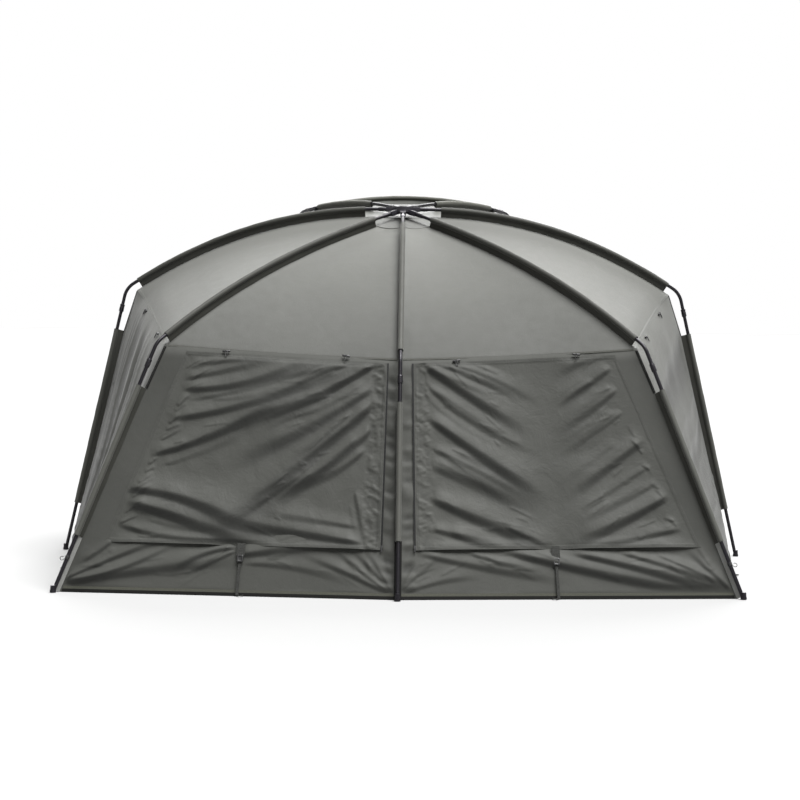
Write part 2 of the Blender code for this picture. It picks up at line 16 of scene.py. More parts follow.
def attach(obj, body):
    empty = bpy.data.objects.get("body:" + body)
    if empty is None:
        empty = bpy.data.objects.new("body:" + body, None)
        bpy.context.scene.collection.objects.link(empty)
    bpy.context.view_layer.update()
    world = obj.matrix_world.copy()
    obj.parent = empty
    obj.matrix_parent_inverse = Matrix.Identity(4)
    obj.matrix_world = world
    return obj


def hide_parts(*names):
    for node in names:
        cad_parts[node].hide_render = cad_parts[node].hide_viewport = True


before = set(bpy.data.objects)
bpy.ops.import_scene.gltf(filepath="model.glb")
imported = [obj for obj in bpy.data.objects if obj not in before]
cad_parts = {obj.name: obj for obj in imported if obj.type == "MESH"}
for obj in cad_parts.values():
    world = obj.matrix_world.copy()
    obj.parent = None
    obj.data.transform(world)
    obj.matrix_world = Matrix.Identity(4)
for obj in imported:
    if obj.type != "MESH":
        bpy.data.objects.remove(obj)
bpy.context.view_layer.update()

# %% [markdown]
# ## The camera, the floor and the light
# The photograph was taken from behind the bivvy with a long lens, a little above chest height and almost
# level. Turning the camera by hand would be guesswork, so its place, its three turns and its lens come
# from matching the ends and bends of the poles. The floor is plain and pale, and the light is that of a
# studio: one wide soft light high overhead, which makes roofs bright and walls dark, a weaker one that
# keeps the front from going black, and a faint glow from all round.

# %% Camera
CAMERA_PLACE = (0.0581, -8.5826, 1.2203)
CAMERA_YAW = math.radians(0.43025)
CAMERA_PITCH = math.radians(-3.13076)
CAMERA_ROLL = math.radians(0.522757)
PHOTO_SIDE = 800
FOCAL_PIXELS = 1827.0


def add_camera():
    camera_data = bpy.data.cameras.new("photo_camera")
    camera_data.sensor_width = 36.0
    camera_data.lens = FOCAL_PIXELS * camera_data.sensor_width / PHOTO_SIDE
    camera = bpy.data.objects.new("photo_camera", camera_data)
    bpy.context.scene.collection.objects.link(camera)
    level = Matrix.Rotation(CAMERA_YAW, 4, "Z") @ Matrix.Rotation(math.radians(90) + CAMERA_PITCH, 4, "X")
    camera.matrix_world = Matrix.Translation(CAMERA_PLACE) @ level @ Matrix.Rotation(CAMERA_ROLL, 4, "Z")
    bpy.context.scene.camera = camera
    print("camera with a lens of", round(camera_data.lens, 1), "mm")


add_camera()

# %% Floor and light
FLOOR_SIDE = 120.0
FLOOR_TONE = (0.36, 0.36, 0.36)
KEY_STRENGTH = 7.6
KEY_TURNS = (12.0, 17.0)
KEY_SOFTNESS = 42.0
FILL_STRENGTH = 3.0
FILL_TURNS = (-58.0, 4.0)
FILL_SOFTNESS = 50.0
GLOW_STRENGTH = 0.27


def deselect_all():
    for item in bpy.context.selected_objects:
        item.select_set(False)


def add_floor():
    deselect_all()
    bpy.ops.mesh.primitive_plane_add(size=FLOOR_SIDE, location=(0.0, 0.0, -0.001))
    floor = bpy.context.active_object
    floor.name = "studio_floor"
    material = bpy.data.materials.new("studio_floor")
    material.use_nodes = True
    shader = material.node_tree.nodes["Principled BSDF"]
    shader.inputs["Base Color"].default_value = (*FLOOR_TONE, 1.0)
    shader.inputs["Roughness"].default_value = 0.9
    shader.inputs["Specular IOR Level"].default_value = 0.0
    floor.data.materials.append(material)


def add_soft_sun(name, turn_x, turn_y, strength, softness):
    light_data = bpy.data.lights.new(name, "SUN")
    light_data.energy = strength
    light_data.angle = math.radians(softness)
    light = bpy.data.objects.new(name, light_data)
    light.rotation_euler = (math.radians(turn_x), math.radians(turn_y), 0.0)
    bpy.context.scene.collection.objects.link(light)


def add_light():
    add_soft_sun("overhead_softbox", *KEY_TURNS, KEY_STRENGTH, KEY_SOFTNESS)
    add_soft_sun("front_fill", *FILL_TURNS, FILL_STRENGTH, FILL_SOFTNESS)
    world = bpy.data.worlds.new("studio_glow")
    world.use_nodes = True
    glow = world.node_tree.nodes["Background"]
    glow.inputs["Color"].default_value = (1.0, 1.0, 1.0, 1.0)
    glow.inputs["Strength"].default_value = GLOW_STRENGTH
    seen = world.node_tree.nodes.new("ShaderNodeLightPath")
    backdrop = world.node_tree.nodes.new("ShaderNodeBackground")
    backdrop.inputs["Color"].default_value = (1.0, 1.0, 1.0, 1.0)
    pick = world.node_tree.nodes.new("ShaderNodeMixShader")
    world.node_tree.links.new(seen.outputs["Is Camera Ray"], pick.inputs["Fac"])
    world.node_tree.links.new(glow.outputs["Background"], pick.inputs[1])
    world.node_tree.links.new(backdrop.outputs["Background"], pick.inputs[2])
    world.node_tree.links.new(pick.outputs["Shader"], world.node_tree.nodes["World Output"].inputs["Surface"])
    bpy.context.scene.world = world
    bpy.context.scene.view_settings.view_transform = "Standard"


add_floor()
add_light()
print("floor and light are set")

# %% [markdown]
# ## The lines of the poles
# Every piece of cloth hangs from the poles, so their lines come first. Each pole stands in one upright
# plane through the hub: a slow curve over the roof, a tight bend at the shoulder, and a straight leg. The
# cloth follows a line a hand's width further in. The sizes repeat those of the solid model, so that
# nothing needs fitting.

# %% Pole sizes
HUB_Y = 0.045
HUB_HEIGHT = 1.645
HUB_RADIUS = 0.046
SOCKET_END = 0.080
POLE_RADIUS = 0.008
BEND_RADIUS = 0.10
CROWN_RADIUS = 0.14
CANOPY_DROP = 0.036
CORNER_DROP = 0.027
CHAMFER_BELOW_BEND = 0.20
COLLAR_BELOW_BEND = 0.08
SLEEVE_ABOVE_GROUND = 0.23
BROW_RISE = 0.084
BROW_REACH = 0.19
DOOR_SHARE = 0.15
DOOR_TOP = 1.44
UP = np.array([0.0, 0.0, 1.0])
HUB_AXIS = np.array([0.0, HUB_Y, 0.0])

# Each pole: its foot, its shoulder's distance out and height, its slopes at the hub and at the shoulder, and
# the distances out where its sleeve starts and, on the front poles, ends.
RIB_SIZES = {
    "rear_middle": ((0.0, -1.268), 0.870, 0.976, -0.35, -0.95, 0.19),
    "rear_left": ((-1.427, -1.135), 1.331, 1.031, -0.30, -0.72, 0.17),
    "side_left": ((-1.620, 0.159), 1.329, 1.266, 0.02, -0.64, 0.18),
    "front_left": ((-0.688, 1.173), 1.100, 1.667, 0.16, -0.12, 0.30, 0.86),
    "front_right": ((0.688, 1.173), 1.100, 1.667, 0.16, -0.12, 0.30, 0.86),
    "side_right": ((1.620, 0.159), 1.329, 1.266, 0.02, -0.64, 0.18),
    "rear_right": ((1.427, -1.135), 1.331, 1.031, -0.30, -0.72, 0.17),
}
print(len(RIB_SIZES), "poles, and the widest feet are",
      2 * max(sizes[0][0] for sizes in RIB_SIZES.values()), "m apart")

# %% Pole lines
def square_to(direction):
    """Directions square to lines in a pole's plane, away from the tent's inside."""
    return np.stack([-direction[..., 1], direction[..., 0]], axis=-1)


class Rib:
    """One pole: points are (distance out from the hub's axis, height) in its own upright plane."""

    def __init__(self, name, foot, bend_out, bend_height, hub_slope, bend_slope, sleeve_start,
                 sleeve_end=None):
        self.name = name
        self.foot_out = math.hypot(*foot)
        self.out = np.array([foot[0], foot[1], 0.0]) / self.foot_out
        self.side = np.array([-self.out[1], self.out[0], 0.0])
        self.apex = np.array([bend_out, bend_height])
        leg = np.array([self.foot_out, 0.0]) - self.apex
        self.leg_length = float(np.linalg.norm(leg))
        self.down = leg / self.leg_length
        self.roof_end = np.array([1.0, bend_slope]) / math.hypot(1.0, bend_slope)
        self.turn = math.acos(float(self.roof_end @ self.down))
        self.bend_start = self.apex - self.roof_end * BEND_RADIUS * math.tan(self.turn / 2)
        start = np.array([SOCKET_END, HUB_HEIGHT + hub_slope * SOCKET_END])
        reach = (self.bend_start[0] - start[0]) / 3
        second = self.bend_start - self.roof_end * (reach / self.roof_end[0])
        self.handles = np.array([start, start + [reach, reach * hub_slope], second, self.bend_start])
        self.sleeve_first = self.share_at(sleeve_start)
        self.sleeve_last = self.share_at(sleeve_end) if sleeve_end else 0.98
        self.stations = np.concatenate([[self.share_at(CROWN_RADIUS)],
                                        np.linspace(self.sleeve_first, self.sleeve_last, 8), [1.0]])

    def place(self, flat, across=0.0):
        flat = np.asarray(flat)
        across = np.asarray(across)[..., None]
        return HUB_AXIS + flat[..., :1] * self.out + flat[..., 1:] * UP + across * self.side

    def roof_point(self, share):
        s = np.asarray(share, float)[..., None]
        a, b, c, d = self.handles
        return a * (1 - s) ** 3 + 3 * b * s * (1 - s) ** 2 + 3 * c * s * s * (1 - s) + d * s ** 3

    def roof_direction(self, share):
        s = np.asarray(share, float)[..., None]
        a, b, c, d = self.handles
        along = (b - a) * (1 - s) ** 2 + 2 * (c - b) * s * (1 - s) + (d - c) * s * s
        return along / np.linalg.norm(along, axis=-1, keepdims=True)

    def share_at(self, distance_out):
        shares = np.linspace(0.0, 1.0, 400)
        return float(np.interp(distance_out, self.roof_point(shares)[:, 0], shares))

    def under_roof(self, share, drop=CANOPY_DROP):
        return self.roof_point(share) - square_to(self.roof_direction(share)) * drop

    def leg_point(self, length):
        return self.apex + self.down * np.asarray(length, float)[..., None]

    def bend_points(self, count):
        inward = -square_to(self.roof_end)
        centre = self.bend_start + inward * BEND_RADIUS
        angles = math.atan2(-inward[1], -inward[0]) - self.turn * np.arange(1, count + 1) / count
        return centre + np.stack([np.cos(angles), np.sin(angles)], axis=-1) * BEND_RADIUS

    def wall_corners(self):
        """The cloth's line down the leg: shoulder seam, end of the cut-away corner, and ground."""
        lean = square_to(self.down)
        seam = self.under_roof(1.0)
        corner = self.leg_point(CHAMFER_BELOW_BEND) - lean * CANOPY_DROP
        return seam, corner, np.array([self.foot_out - CORNER_DROP / lean[0], 0.0])


RIBS = {name: Rib(name, *sizes) for name, sizes in RIB_SIZES.items()}
print(len(RIBS), "pole lines; the longest leg measures",
      round(max(rib.leg_length for rib in RIBS.values()), 2), "m")

# %% [markdown]
# ## The surfaces that the cloth lies on
# Between two poles the cloth is pulled tight, so its shape is almost a straight span from one pole's line
# to the next. Two functions give any point of it: one for a roof panel, from the crown to the shoulder
# seam, and one for a wall, from the seam to the ground. Tight cloth between two arches also hollows a
# little, and the wall's knee below the seam is sharp only beside the poles. At the sides the cloth passes
# from roof to wall in a soft bend. The front panel swells over the low brow pole above the door.

# %% Panels and spans
PANELS = [
    ("rear_left", "rear_middle", "rear_left"),
    ("side_left", "rear_left", "side_left"),
    ("front_left", "side_left", "front_left"),
    ("front", "front_left", "front_right"),
    ("front_right", "front_right", "side_right"),
    ("side_right", "side_right", "rear_right"),
    ("rear_right", "rear_right", "rear_middle"),
]
KNEE_SHARE = 0.17
ROOF_HOLLOW = 0.016
WALL_HOLLOW = 0.010
SEAM_SPREAD = 0.10
SEAM_DRAW = 0.019
SEAM_LEAN = (0.84, 0.545)
ROOF_LENGTH = 1.2
WALL_LENGTH = 1.15


def smooth_step(value, low, high):
    t = np.clip((value - low) / (high - low), 0.0, 1.0)
    return t * t * (3 - 2 * t)


def swell(u, weight):
    """The lift that the brow pole gives, most in the middle of the front."""
    lift = (4 * u * (1 - u) * weight)[..., None]
    return lift * np.array([0.0, BROW_REACH, BROW_RISE])


def roof_span(left, right, u, v, front=False):
    """Points of a roof panel: u runs from one rib to the other, v from the crown to the shoulder seam."""
    edges = []
    for rib in (left, right):
        share = np.interp(v * (len(rib.stations) - 1), np.arange(len(rib.stations)), rib.stations)
        edges.append(rib.place(rib.under_roof(share)))
    points = edges[0] + (edges[1] - edges[0]) * u[..., None]
    if front:
        points = points + swell(u, v ** 2)
    return points


def wall_line(rib, t):
    seam, corner, ground = rib.wall_corners()
    t = np.asarray(t, float)[..., None]
    upper = seam + (corner - seam) * (t / KNEE_SHARE)
    lower = corner + (ground - corner) * ((t - KNEE_SHARE) / (1 - KNEE_SHARE))
    return rib.place(np.where(t < KNEE_SHARE, upper, lower))


def wall_span(left, right, u, t, front=False):
    """Points of a wall: u runs from one rib to the other, t from the shoulder seam to the ground."""
    def straight(shift):
        first = wall_line(left, t + shift)
        last = wall_line(right, t + shift)
        points = first + (last - first) * u[..., None]
        if front:
            points = points + swell(u, first[..., 2] / left.wall_corners()[0][1])
        return points

    knee = straight(0.0)
    rounded = sum(straight(shift) for shift in (-0.09, -0.06, -0.03, 0.0, 0.03, 0.06, 0.09)) / 7
    near_ground = 1 - smooth_step(t, 0.80, 0.90)
    middle = smooth_step(np.minimum(u, 1 - u), 0.0, 0.14) * near_ground
    return knee + (rounded - knee) * middle[..., None]


print("spans for", len(PANELS), "panels")

# %% Stretched cloth
def normals_of(span, u, v):
    """Unit normals of a surface, out of the tent, from small steps along it."""
    step = 0.002
    across = span(u + step, v) - span(u - step, v)
    along = span(u, v + step) - span(u, v - step)
    normal = np.cross(across, along)
    normal /= np.linalg.norm(normal, axis=-1, keepdims=True)
    away = span(u, v) - HUB_AXIS - np.array([0.0, 0.0, 0.4])
    facing = np.sign(np.sum(normal * away, axis=-1, keepdims=True))
    return normal * facing


def has_soft_seam(panel):
    """Whether roof and wall meet in a soft bend, as they do at the sides."""
    return not panel[0].startswith("rear") and panel[0] != "front"


def seam_rounding(panel, u, distance):
    """How far cloth near a soft seam is drawn in."""
    if not has_soft_seam(panel):
        return 0.0
    out = RIBS[panel[1]].out + RIBS[panel[2]].out
    lean = out / np.linalg.norm(out) * SEAM_LEAN[0] + UP * SEAM_LEAN[1]
    share = np.clip(1 - distance / SEAM_SPREAD, 0.0, 1.0) ** 2 * smooth_step(np.minimum(u, 1 - u), 0.0, 0.15)
    return lean * (SEAM_DRAW * share)[..., None]


def roof_cloth(panel, u, v):
    name, left, right = panel
    def span(a, b):
        return roof_span(RIBS[left], RIBS[right], a, np.clip(b, 0.0, 1.0), name == "front")
    hollow = 4 * u * (1 - u) * np.sin(math.pi * (0.12 + 0.68 * v)) * ROOF_HOLLOW
    if name == "front":
        hollow = hollow * (1 - v ** 2)
    normal = normals_of(span, np.clip(u, 0.003, 0.997), np.clip(v, 0.003, 0.997))
    stations = RIBS[left].stations
    distance = (1 - np.interp(v * (len(stations) - 1), np.arange(len(stations)), stations)) * ROOF_LENGTH
    return span(u, v) - normal * hollow[..., None] - seam_rounding(panel, u, distance), normal


def wall_cloth(panel, u, t):
    name, left, right = panel
    def span(a, b):
        return wall_span(RIBS[left], RIBS[right], a, b, name == "front")
    hollow = 4 * u * (1 - u) * np.sin(math.pi * np.clip(0.15 + 0.85 * t, 0.0, 1.0)) * WALL_HOLLOW
    normal = normals_of(span, u, t)
    return span(u, t) - normal * hollow[..., None] - seam_rounding(panel, u, t * WALL_LENGTH), normal


PANEL = {panel[0]: panel for panel in PANELS}
print("the cloth hollows by up to", ROOF_HOLLOW * 1000, "mm between the poles")

# %% [markdown]
# ## Folds as numbers
# Real tent cloth is never smooth, and two kinds of fold are needed. Loose cloth, and the puckers along a
# sewn zip, have no order, so they come from a random wave that varies quickly across the fold and hardly
# at all along it. The long folds of the covers and skirts are pulled from known points, so each of those
# is one line of a list: where it is pulled, where it dies out, how far it bows, its half width and its
# rise. They were read from the photograph and are written in metres, as seen from behind, so that
# any one of them can be moved by hand.

# %% Noise for folds
def wave(x, seed):
    """Smooth random wave from -1 to 1 of one number, a peak or so for each whole step."""
    table = np.random.default_rng(seed).uniform(-1.0, 1.0, 512)
    cell = np.floor(x).astype(int)
    f = x - cell
    a, b, c, d = (table[(cell + k) % 512] for k in (-1, 0, 1, 2))
    return b + 0.5 * f * (c - a + f * (2 * a - 5 * b + 4 * c - d + f * (3 * (b - c) + d - a)))


def mottle(x, y, seed):
    """Smooth random hills from -1 to 1 of two numbers."""
    table = np.random.default_rng(seed).uniform(-1.0, 1.0, (64, 64))
    i, j = np.floor(x).astype(int), np.floor(y).astype(int)
    f, g = smooth_step(x - i, 0.0, 1.0), smooth_step(y - j, 0.0, 1.0)
    low = table[i % 64, j % 64] * (1 - f) + table[(i + 1) % 64, j % 64] * f
    high = table[i % 64, (j + 1) % 64] * (1 - f) + table[(i + 1) % 64, (j + 1) % 64] * f
    return low * (1 - g) + high * g


def folds(x, seed, sharpness=0.45):
    """Fold heights from 0 to 1: broad swells with some sharper ridges."""
    broad = 0.5 + 0.5 * wave(x, seed)
    ridge = (1 - np.abs(wave(x * 1.7 + 9.3, seed + 1))) ** 2
    return np.clip(broad * (1 - sharpness) + ridge * sharpness, 0.0, 1.3)


def rays(x, z, centre, step, seed, near, far):
    """Folds that run out from a pulled point, from a distance near it to one far from it."""
    dx, dz = x - centre[0], z - centre[1]
    distance = np.hypot(dx, dz)
    angle = np.arctan2(dz, dx) + 0.05 * mottle(x * 3, z * 3, seed)
    strength = smooth_step(distance, 0.0, near) * (1 - smooth_step(distance, near, far))
    return folds(angle / step, seed) * strength


print("a fold wave swings between", wave(np.linspace(0, 50, 500), 1).min().round(2),
      "and", wave(np.linspace(0, 50, 500), 1).max().round(2))

# %% Placed folds
FULL_SHADE_RISE = 0.013
CREASE_TURN = 0.32
CREASE_LENGTHS = (0.03, 0.13)
CREASE_BOW = 0.004
CREASE_HALVES = (0.0030, 0.0050)
CREASE_RISES = (0.0006, 0.0022)


def fold_lines(x, z, lines, reach=1.0):
    """Height and shade of separate folds: pulled end, loose end, bow, half width and rise, in metres."""
    height, shade = 0.0 * x, 0.0 * x
    for x0, z0, x1, z1, bow, half, rise in lines:
        dx, dz = x1 - x0, z1 - z0
        length = math.hypot(dx, dz)
        along = ((x - x0) * dx + (z - z0) * dz) / length ** 2
        t = np.clip(along, 0.0, 1.0)
        across = math.copysign(1, dx) * ((z - z0) * dx - (x - x0) * dz) / length - bow * 4 * t * (1 - t)
        width = half * (0.55 + 0.9 * t)
        fade = smooth_step(along, -0.04, 0.12) * (1 - smooth_step(along, 0.62 * reach, 1.12 * reach))
        crest = np.exp(-(np.maximum(across - width * 0.6, 0) / (width * 3.0)) ** 2)
        height += 1.15 * rise * fade * smooth_step(across, -width, width) * crest
        # Painted shade: the colour darkens in the hollow under each fold.
        shade += fade * np.exp(-((across + width * 0.15) / width) ** 2) * min(1.0, rise / FULL_SHADE_RISE)
    return height, np.clip(shade, 0.0, 1.0)


def small_creases(lines, count, seed):
    """Short sharp creases beside a list of folds, running nearly the same way."""
    pick = np.random.default_rng(seed)
    creases = []
    for _ in range(count):
        x0, z0, x1, z1, _bow, half, _rise = lines[pick.integers(len(lines))]
        along, aside = pick.uniform(0.0, 0.75), pick.uniform(-4.5, 4.5) * half
        heading = math.atan2(z1 - z0, x1 - x0) + pick.uniform(-CREASE_TURN, CREASE_TURN)
        length = pick.uniform(*CREASE_LENGTHS)
        x = x0 + (x1 - x0) * along - math.sin(heading) * aside
        z = z0 + (z1 - z0) * along + math.cos(heading) * aside
        creases.append((x, z, x + math.cos(heading) * length, z + math.sin(heading) * length,
                        pick.uniform(-CREASE_BOW, CREASE_BOW), pick.uniform(*CREASE_HALVES),
                        pick.uniform(*CREASE_RISES)))
    return creases


def companions(lines, seed):
    """A weaker fold beside each fold of a list, nearly parallel to it."""
    pick = np.random.default_rng(seed)
    beside = []
    for x0, z0, x1, z1, bow, half, rise in lines:
        heading = math.atan2(z1 - z0, x1 - x0)
        aside = pick.choice((-1, 1)) * pick.uniform(2.6, 4.2) * half
        x, z = x0 - math.sin(heading) * aside, z0 + math.cos(heading) * aside
        first, last = pick.uniform(0.02, 0.25), pick.uniform(0.75, 1.05)
        start = (x + (x1 - x0) * first, z + (z1 - z0) * first)
        end = (x + (x1 - x0) * last, z + (z1 - z0) * last)
        beside.append((*start, *end, bow * 0.8, half * 0.8, rise * pick.uniform(0.22, 0.45)))
    return beside


print("a placed fold is darkest from a rise of", FULL_SHADE_RISE * 1000, "mm")

# %% [markdown]
# ## Turning a flat grid into cloth
# A sheet of cloth starts as a flat grid from the Add menu. Its points are then carried to their place on
# the tent and raised by the folds, as sculpting would do but with numbers. Solidify gives it two faces
# and a rim, so it is closed, and a UV map in metres keeps the weave and the stitches lying along the
# cloth.

# %% Cloth pieces
CLOTH = 0.0016


def only(piece):
    deselect_all()
    piece.select_set(True)
    bpy.context.view_layer.objects.active = piece


def apply_modifier(piece, kind, **settings):
    only(piece)
    modifier = piece.modifiers.new(kind.lower(), kind)
    for name, value in settings.items():
        setattr(modifier, name, value)
    bpy.ops.object.modifier_apply(modifier=modifier.name)


def select_where(piece, kind, test):
    """In edit mode, selects the vertices or faces whose centre passes a test."""
    bpy.ops.object.mode_set(mode="OBJECT")
    for vertex in piece.data.vertices:
        vertex.select = kind == "VERT" and test(vertex.co)
    for edge in piece.data.edges:
        edge.select = False
    for face in piece.data.polygons:
        face.select = kind == "FACE" and test(face.center)
    bpy.ops.object.mode_set(mode="EDIT")
    bpy.ops.mesh.select_mode(type=kind)


def cloth_sheet(name, columns, rows, shape, size, thickness=CLOTH, holes=None, merge=False):
    """A sheet from a grid. shape(u, v) gives points and named numbers for each point; size is in metres."""
    deselect_all()
    bpy.ops.mesh.primitive_grid_add(x_subdivisions=columns, y_subdivisions=rows, size=1.0)
    piece = bpy.context.active_object
    piece.name = piece.data.name = name
    mesh = piece.data
    if holes:
        select_where(piece, "FACE", lambda centre: holes(centre.x + 0.5, centre.y + 0.5))
        bpy.ops.mesh.delete(type="FACE")
        bpy.ops.object.mode_set(mode="OBJECT")
    flat = np.empty(len(mesh.vertices) * 3)
    mesh.vertices.foreach_get("co", flat)
    u, v = flat[0::3] + 0.5, flat[1::3] + 0.5
    points, numbers = shape(u, v)
    mesh.vertices.foreach_set("co", np.ascontiguousarray(points, float).ravel())
    corners = np.empty(len(mesh.loops), int)
    mesh.loops.foreach_get("vertex_index", corners)
    layer = mesh.uv_layers.active or mesh.uv_layers.new(name="UVMap")
    laid = np.stack([u[corners] * size[0], v[corners] * size[1]], axis=-1)
    layer.data.foreach_set("uv", laid.ravel())
    for key, values in numbers.items():
        carried = mesh.attributes.new(key, "FLOAT", "POINT")
        carried.data.foreach_set("value", np.broadcast_to(values, u.shape).astype(float))
    mesh.update()
    only(piece)
    if merge:
        bpy.ops.object.mode_set(mode="EDIT")
        bpy.ops.mesh.select_all(action="SELECT")
        bpy.ops.mesh.remove_doubles(threshold=0.0002)
        bpy.ops.mesh.normals_make_consistent(inside=False)
        bpy.ops.object.mode_set(mode="OBJECT")
    if thickness:
        apply_modifier(piece, "SOLIDIFY", thickness=thickness, offset=-1.0, use_even_offset=False)
    bpy.ops.object.shade_smooth_by_angle(angle=math.radians(50))
    return piece


print("cloth is", CLOTH * 1000, "mm thick here")

# %% [markdown]
# ## A short way to write materials
# A material is a small sum: a colour here, a little more roughness there, a ridge where the thread runs.
# In the node editor each plus and times is a box. Here a small class wraps a socket, so that the sum can
# be written as one, and one method makes every other kind of node.

# %% Sums on sockets
class Value:
    """A number that varies over a surface, with arithmetic that adds Math nodes."""

    def __init__(self, recipe, socket):
        self.recipe = recipe
        self.socket = socket

    def __add__(self, other):
        return self.recipe.math("ADD", self, other)

    def __sub__(self, other):
        return self.recipe.math("SUBTRACT", self, other)

    def __rsub__(self, other):
        return self.recipe.math("SUBTRACT", other, self)

    def __mul__(self, other):
        return self.recipe.math("MULTIPLY", self, other)

    def __truediv__(self, other):
        return self.recipe.math("DIVIDE", self, other)

    def __rtruediv__(self, other):
        return self.recipe.math("DIVIDE", other, self)

    __radd__ = __add__
    __rmul__ = __mul__

    def size(self):
        return self.recipe.math("ABSOLUTE", self)

    def below(self, limit):
        return self.recipe.math("LESS_THAN", self, limit)

    def part(self):
        return self.recipe.math("FRACT", self)

    def sine(self):
        return self.recipe.math("SINE", self)

    def between(self, low, high):
        """0 below low, 1 above high, and smooth in between."""
        return self.recipe.node("ShaderNodeMapRange", {"interpolation_type": "SMOOTHSTEP"},
                                {"Value": self, "From Min": low, "From Max": high})


print("a value can be added, taken away, multiplied and divided")

# %% Material recipes
class Recipe:
    """One procedural material on the Principled shader."""

    def __init__(self, name, **constants):
        self.material = bpy.data.materials.new(name)
        self.material.use_nodes = True
        self.tree = self.material.node_tree
        self.shader = self.tree.nodes["Principled BSDF"]
        for socket, value in constants.items():
            self.feed(self.shader.inputs[socket.replace("_", " ")], value)

    def feed(self, socket, value):
        if isinstance(value, Value):
            self.tree.links.new(value.socket, socket)
        elif isinstance(value, (tuple, list)) and socket.type == "RGBA":
            socket.default_value = (*value[:3], 1.0)
        else:
            socket.default_value = value

    def node(self, kind, settings=None, sockets=None, output=0):
        node = self.tree.nodes.new(kind)
        for key, value in (settings or {}).items():
            setattr(node, key, value)
        for key, value in (sockets or {}).items():
            self.feed(node.inputs[key], value)
        return Value(self, node.outputs[output])

    def math(self, operation, *values):
        return self.node("ShaderNodeMath", {"operation": operation}, dict(enumerate(values)))

    def where(self, kind="Object"):
        return self.node("ShaderNodeTexCoord", output=kind)

    def number(self, name):
        return self.node("ShaderNodeAttribute", {"attribute_name": name}, output="Fac")

    def noise(self, place, scale, detail=2.0, roughness=0.5, distortion=0.0):
        return self.node("ShaderNodeTexNoise", {}, {"Vector": place, "Scale": scale, "Detail": detail,
                                                    "Roughness": roughness, "Distortion": distortion})

    def mix(self, first, second, share):
        """A colour between two: the mix node keeps its colour sockets at 6 and 7 and its result at 2."""
        return self.node("ShaderNodeMix", {"data_type": "RGBA"}, {0: share, 6: first, 7: second}, output=2)

    def axis(self, place, letter):
        return self.node("ShaderNodeSeparateXYZ", {}, {"Vector": place}, output=letter)

    def relief(self, height, strength=1.0):
        """Raises the surface by a height in metres, through the shader's normal."""
        bump = self.node("ShaderNodeBump", {}, {"Height": height, "Strength": strength, "Distance": 1.0})
        self.feed(self.shader.inputs["Normal"], bump)

    def colour(self, value):
        self.feed(self.shader.inputs["Base Color"], value)

    def roughness(self, value):
        self.feed(self.shader.inputs["Roughness"], value)


print("materials are written as sums")

# %% [markdown]
# ## Tent cloth
# The canopy is coated nylon in a grey green: dull, finely woven, with the faint cloudy creases of cloth
# that was packed small. One recipe serves every panel. A number on each point slides the colour from the
# wall's dark to the roof's pale, partly the cloth's own colour and partly painted light: daylight through
# the roof and light on slopes that face up. A second one, the shade, is painted shade in the hollow beside
# a fold. Thread shows as dashes at set distances from an edge.

# %% Cloth materials
WALL_COLOUR = (0.0350, 0.0360, 0.0312)
# The roof's pale below is partly the cloth's colour and partly painted light from above and through it.
ROOF_COLOUR_AND_LIGHT = (0.141, 0.143, 0.132)
COVER_COLOUR = (0.0350, 0.0360, 0.0312)
# The web's dark is partly its own colour and partly painted shade; the casing's pale partly painted light.
DARK_WEB = (0.0150, 0.0153, 0.0110)
CASING_COLOUR = (0.050, 0.0508, 0.0440)
WEAVE_STEP = 0.0012
DUST_COLOUR = (0.30, 0.30, 0.27)
STITCH_ROWS = (0.006, 0.013)
STITCH_HALF = 0.0008
STITCH_STEP = 0.0045
STITCH_SHARE = 0.62


def woven(recipe, coordinates, step=WEAVE_STEP):
    """The height of a plain weave, in metres, from coordinates in metres."""
    wide = (recipe.axis(coordinates, "X") * (2 * math.pi / step)).sine()
    long = (recipe.axis(coordinates, "Y") * (2 * math.pi / step)).sine()
    return wide * long * (step * 0.03)


def cloth_material(name, dark, pale, roughness=0.66, crumple=1.0, stitched=False):
    recipe = Recipe(name, Sheen_Weight=0.12, Sheen_Roughness=0.45, Specular_IOR_Level=0.32)
    place, coordinates = recipe.where(), recipe.where("UV")
    clouds = recipe.noise(place, 2.6, 3.0)
    packing = recipe.noise(place, 11.0, 4.0, 0.6, 0.6)
    fine = recipe.noise(place, 70.0, 2.0)
    # The pale end is partly painted light; each point's number slides the colour towards it.
    shade = recipe.mix(dark, pale, recipe.number("tone"))
    shade = recipe.mix(shade, DUST_COLOUR, (clouds - 0.5) * 0.08 + 0.015)
    height = woven(recipe, coordinates) + packing * (0.0016 * crumple) + fine * (0.00022 * crumple)
    # Painted shade: the shade number darkens the colour in the hollows of folds.
    shade = recipe.mix(shade, tuple(0.30 * c for c in dark), recipe.number("shade") * 0.70)
    if stitched:
        edge, along = recipe.number("edge"), recipe.number("along")
        outer, inner = ((edge - inset).size().below(STITCH_HALF) for inset in STITCH_ROWS)
        thread = (outer + inner) * (along / STITCH_STEP).part().below(STITCH_SHARE)
        shade = recipe.mix(shade, tuple(0.45 * c for c in dark), thread * 0.7)
        height = height + thread * 0.0004
    recipe.colour(shade)
    recipe.roughness(recipe.noise(place, 24.0) * 0.14 + (roughness - 0.07))
    recipe.relief(height)
    return recipe.material


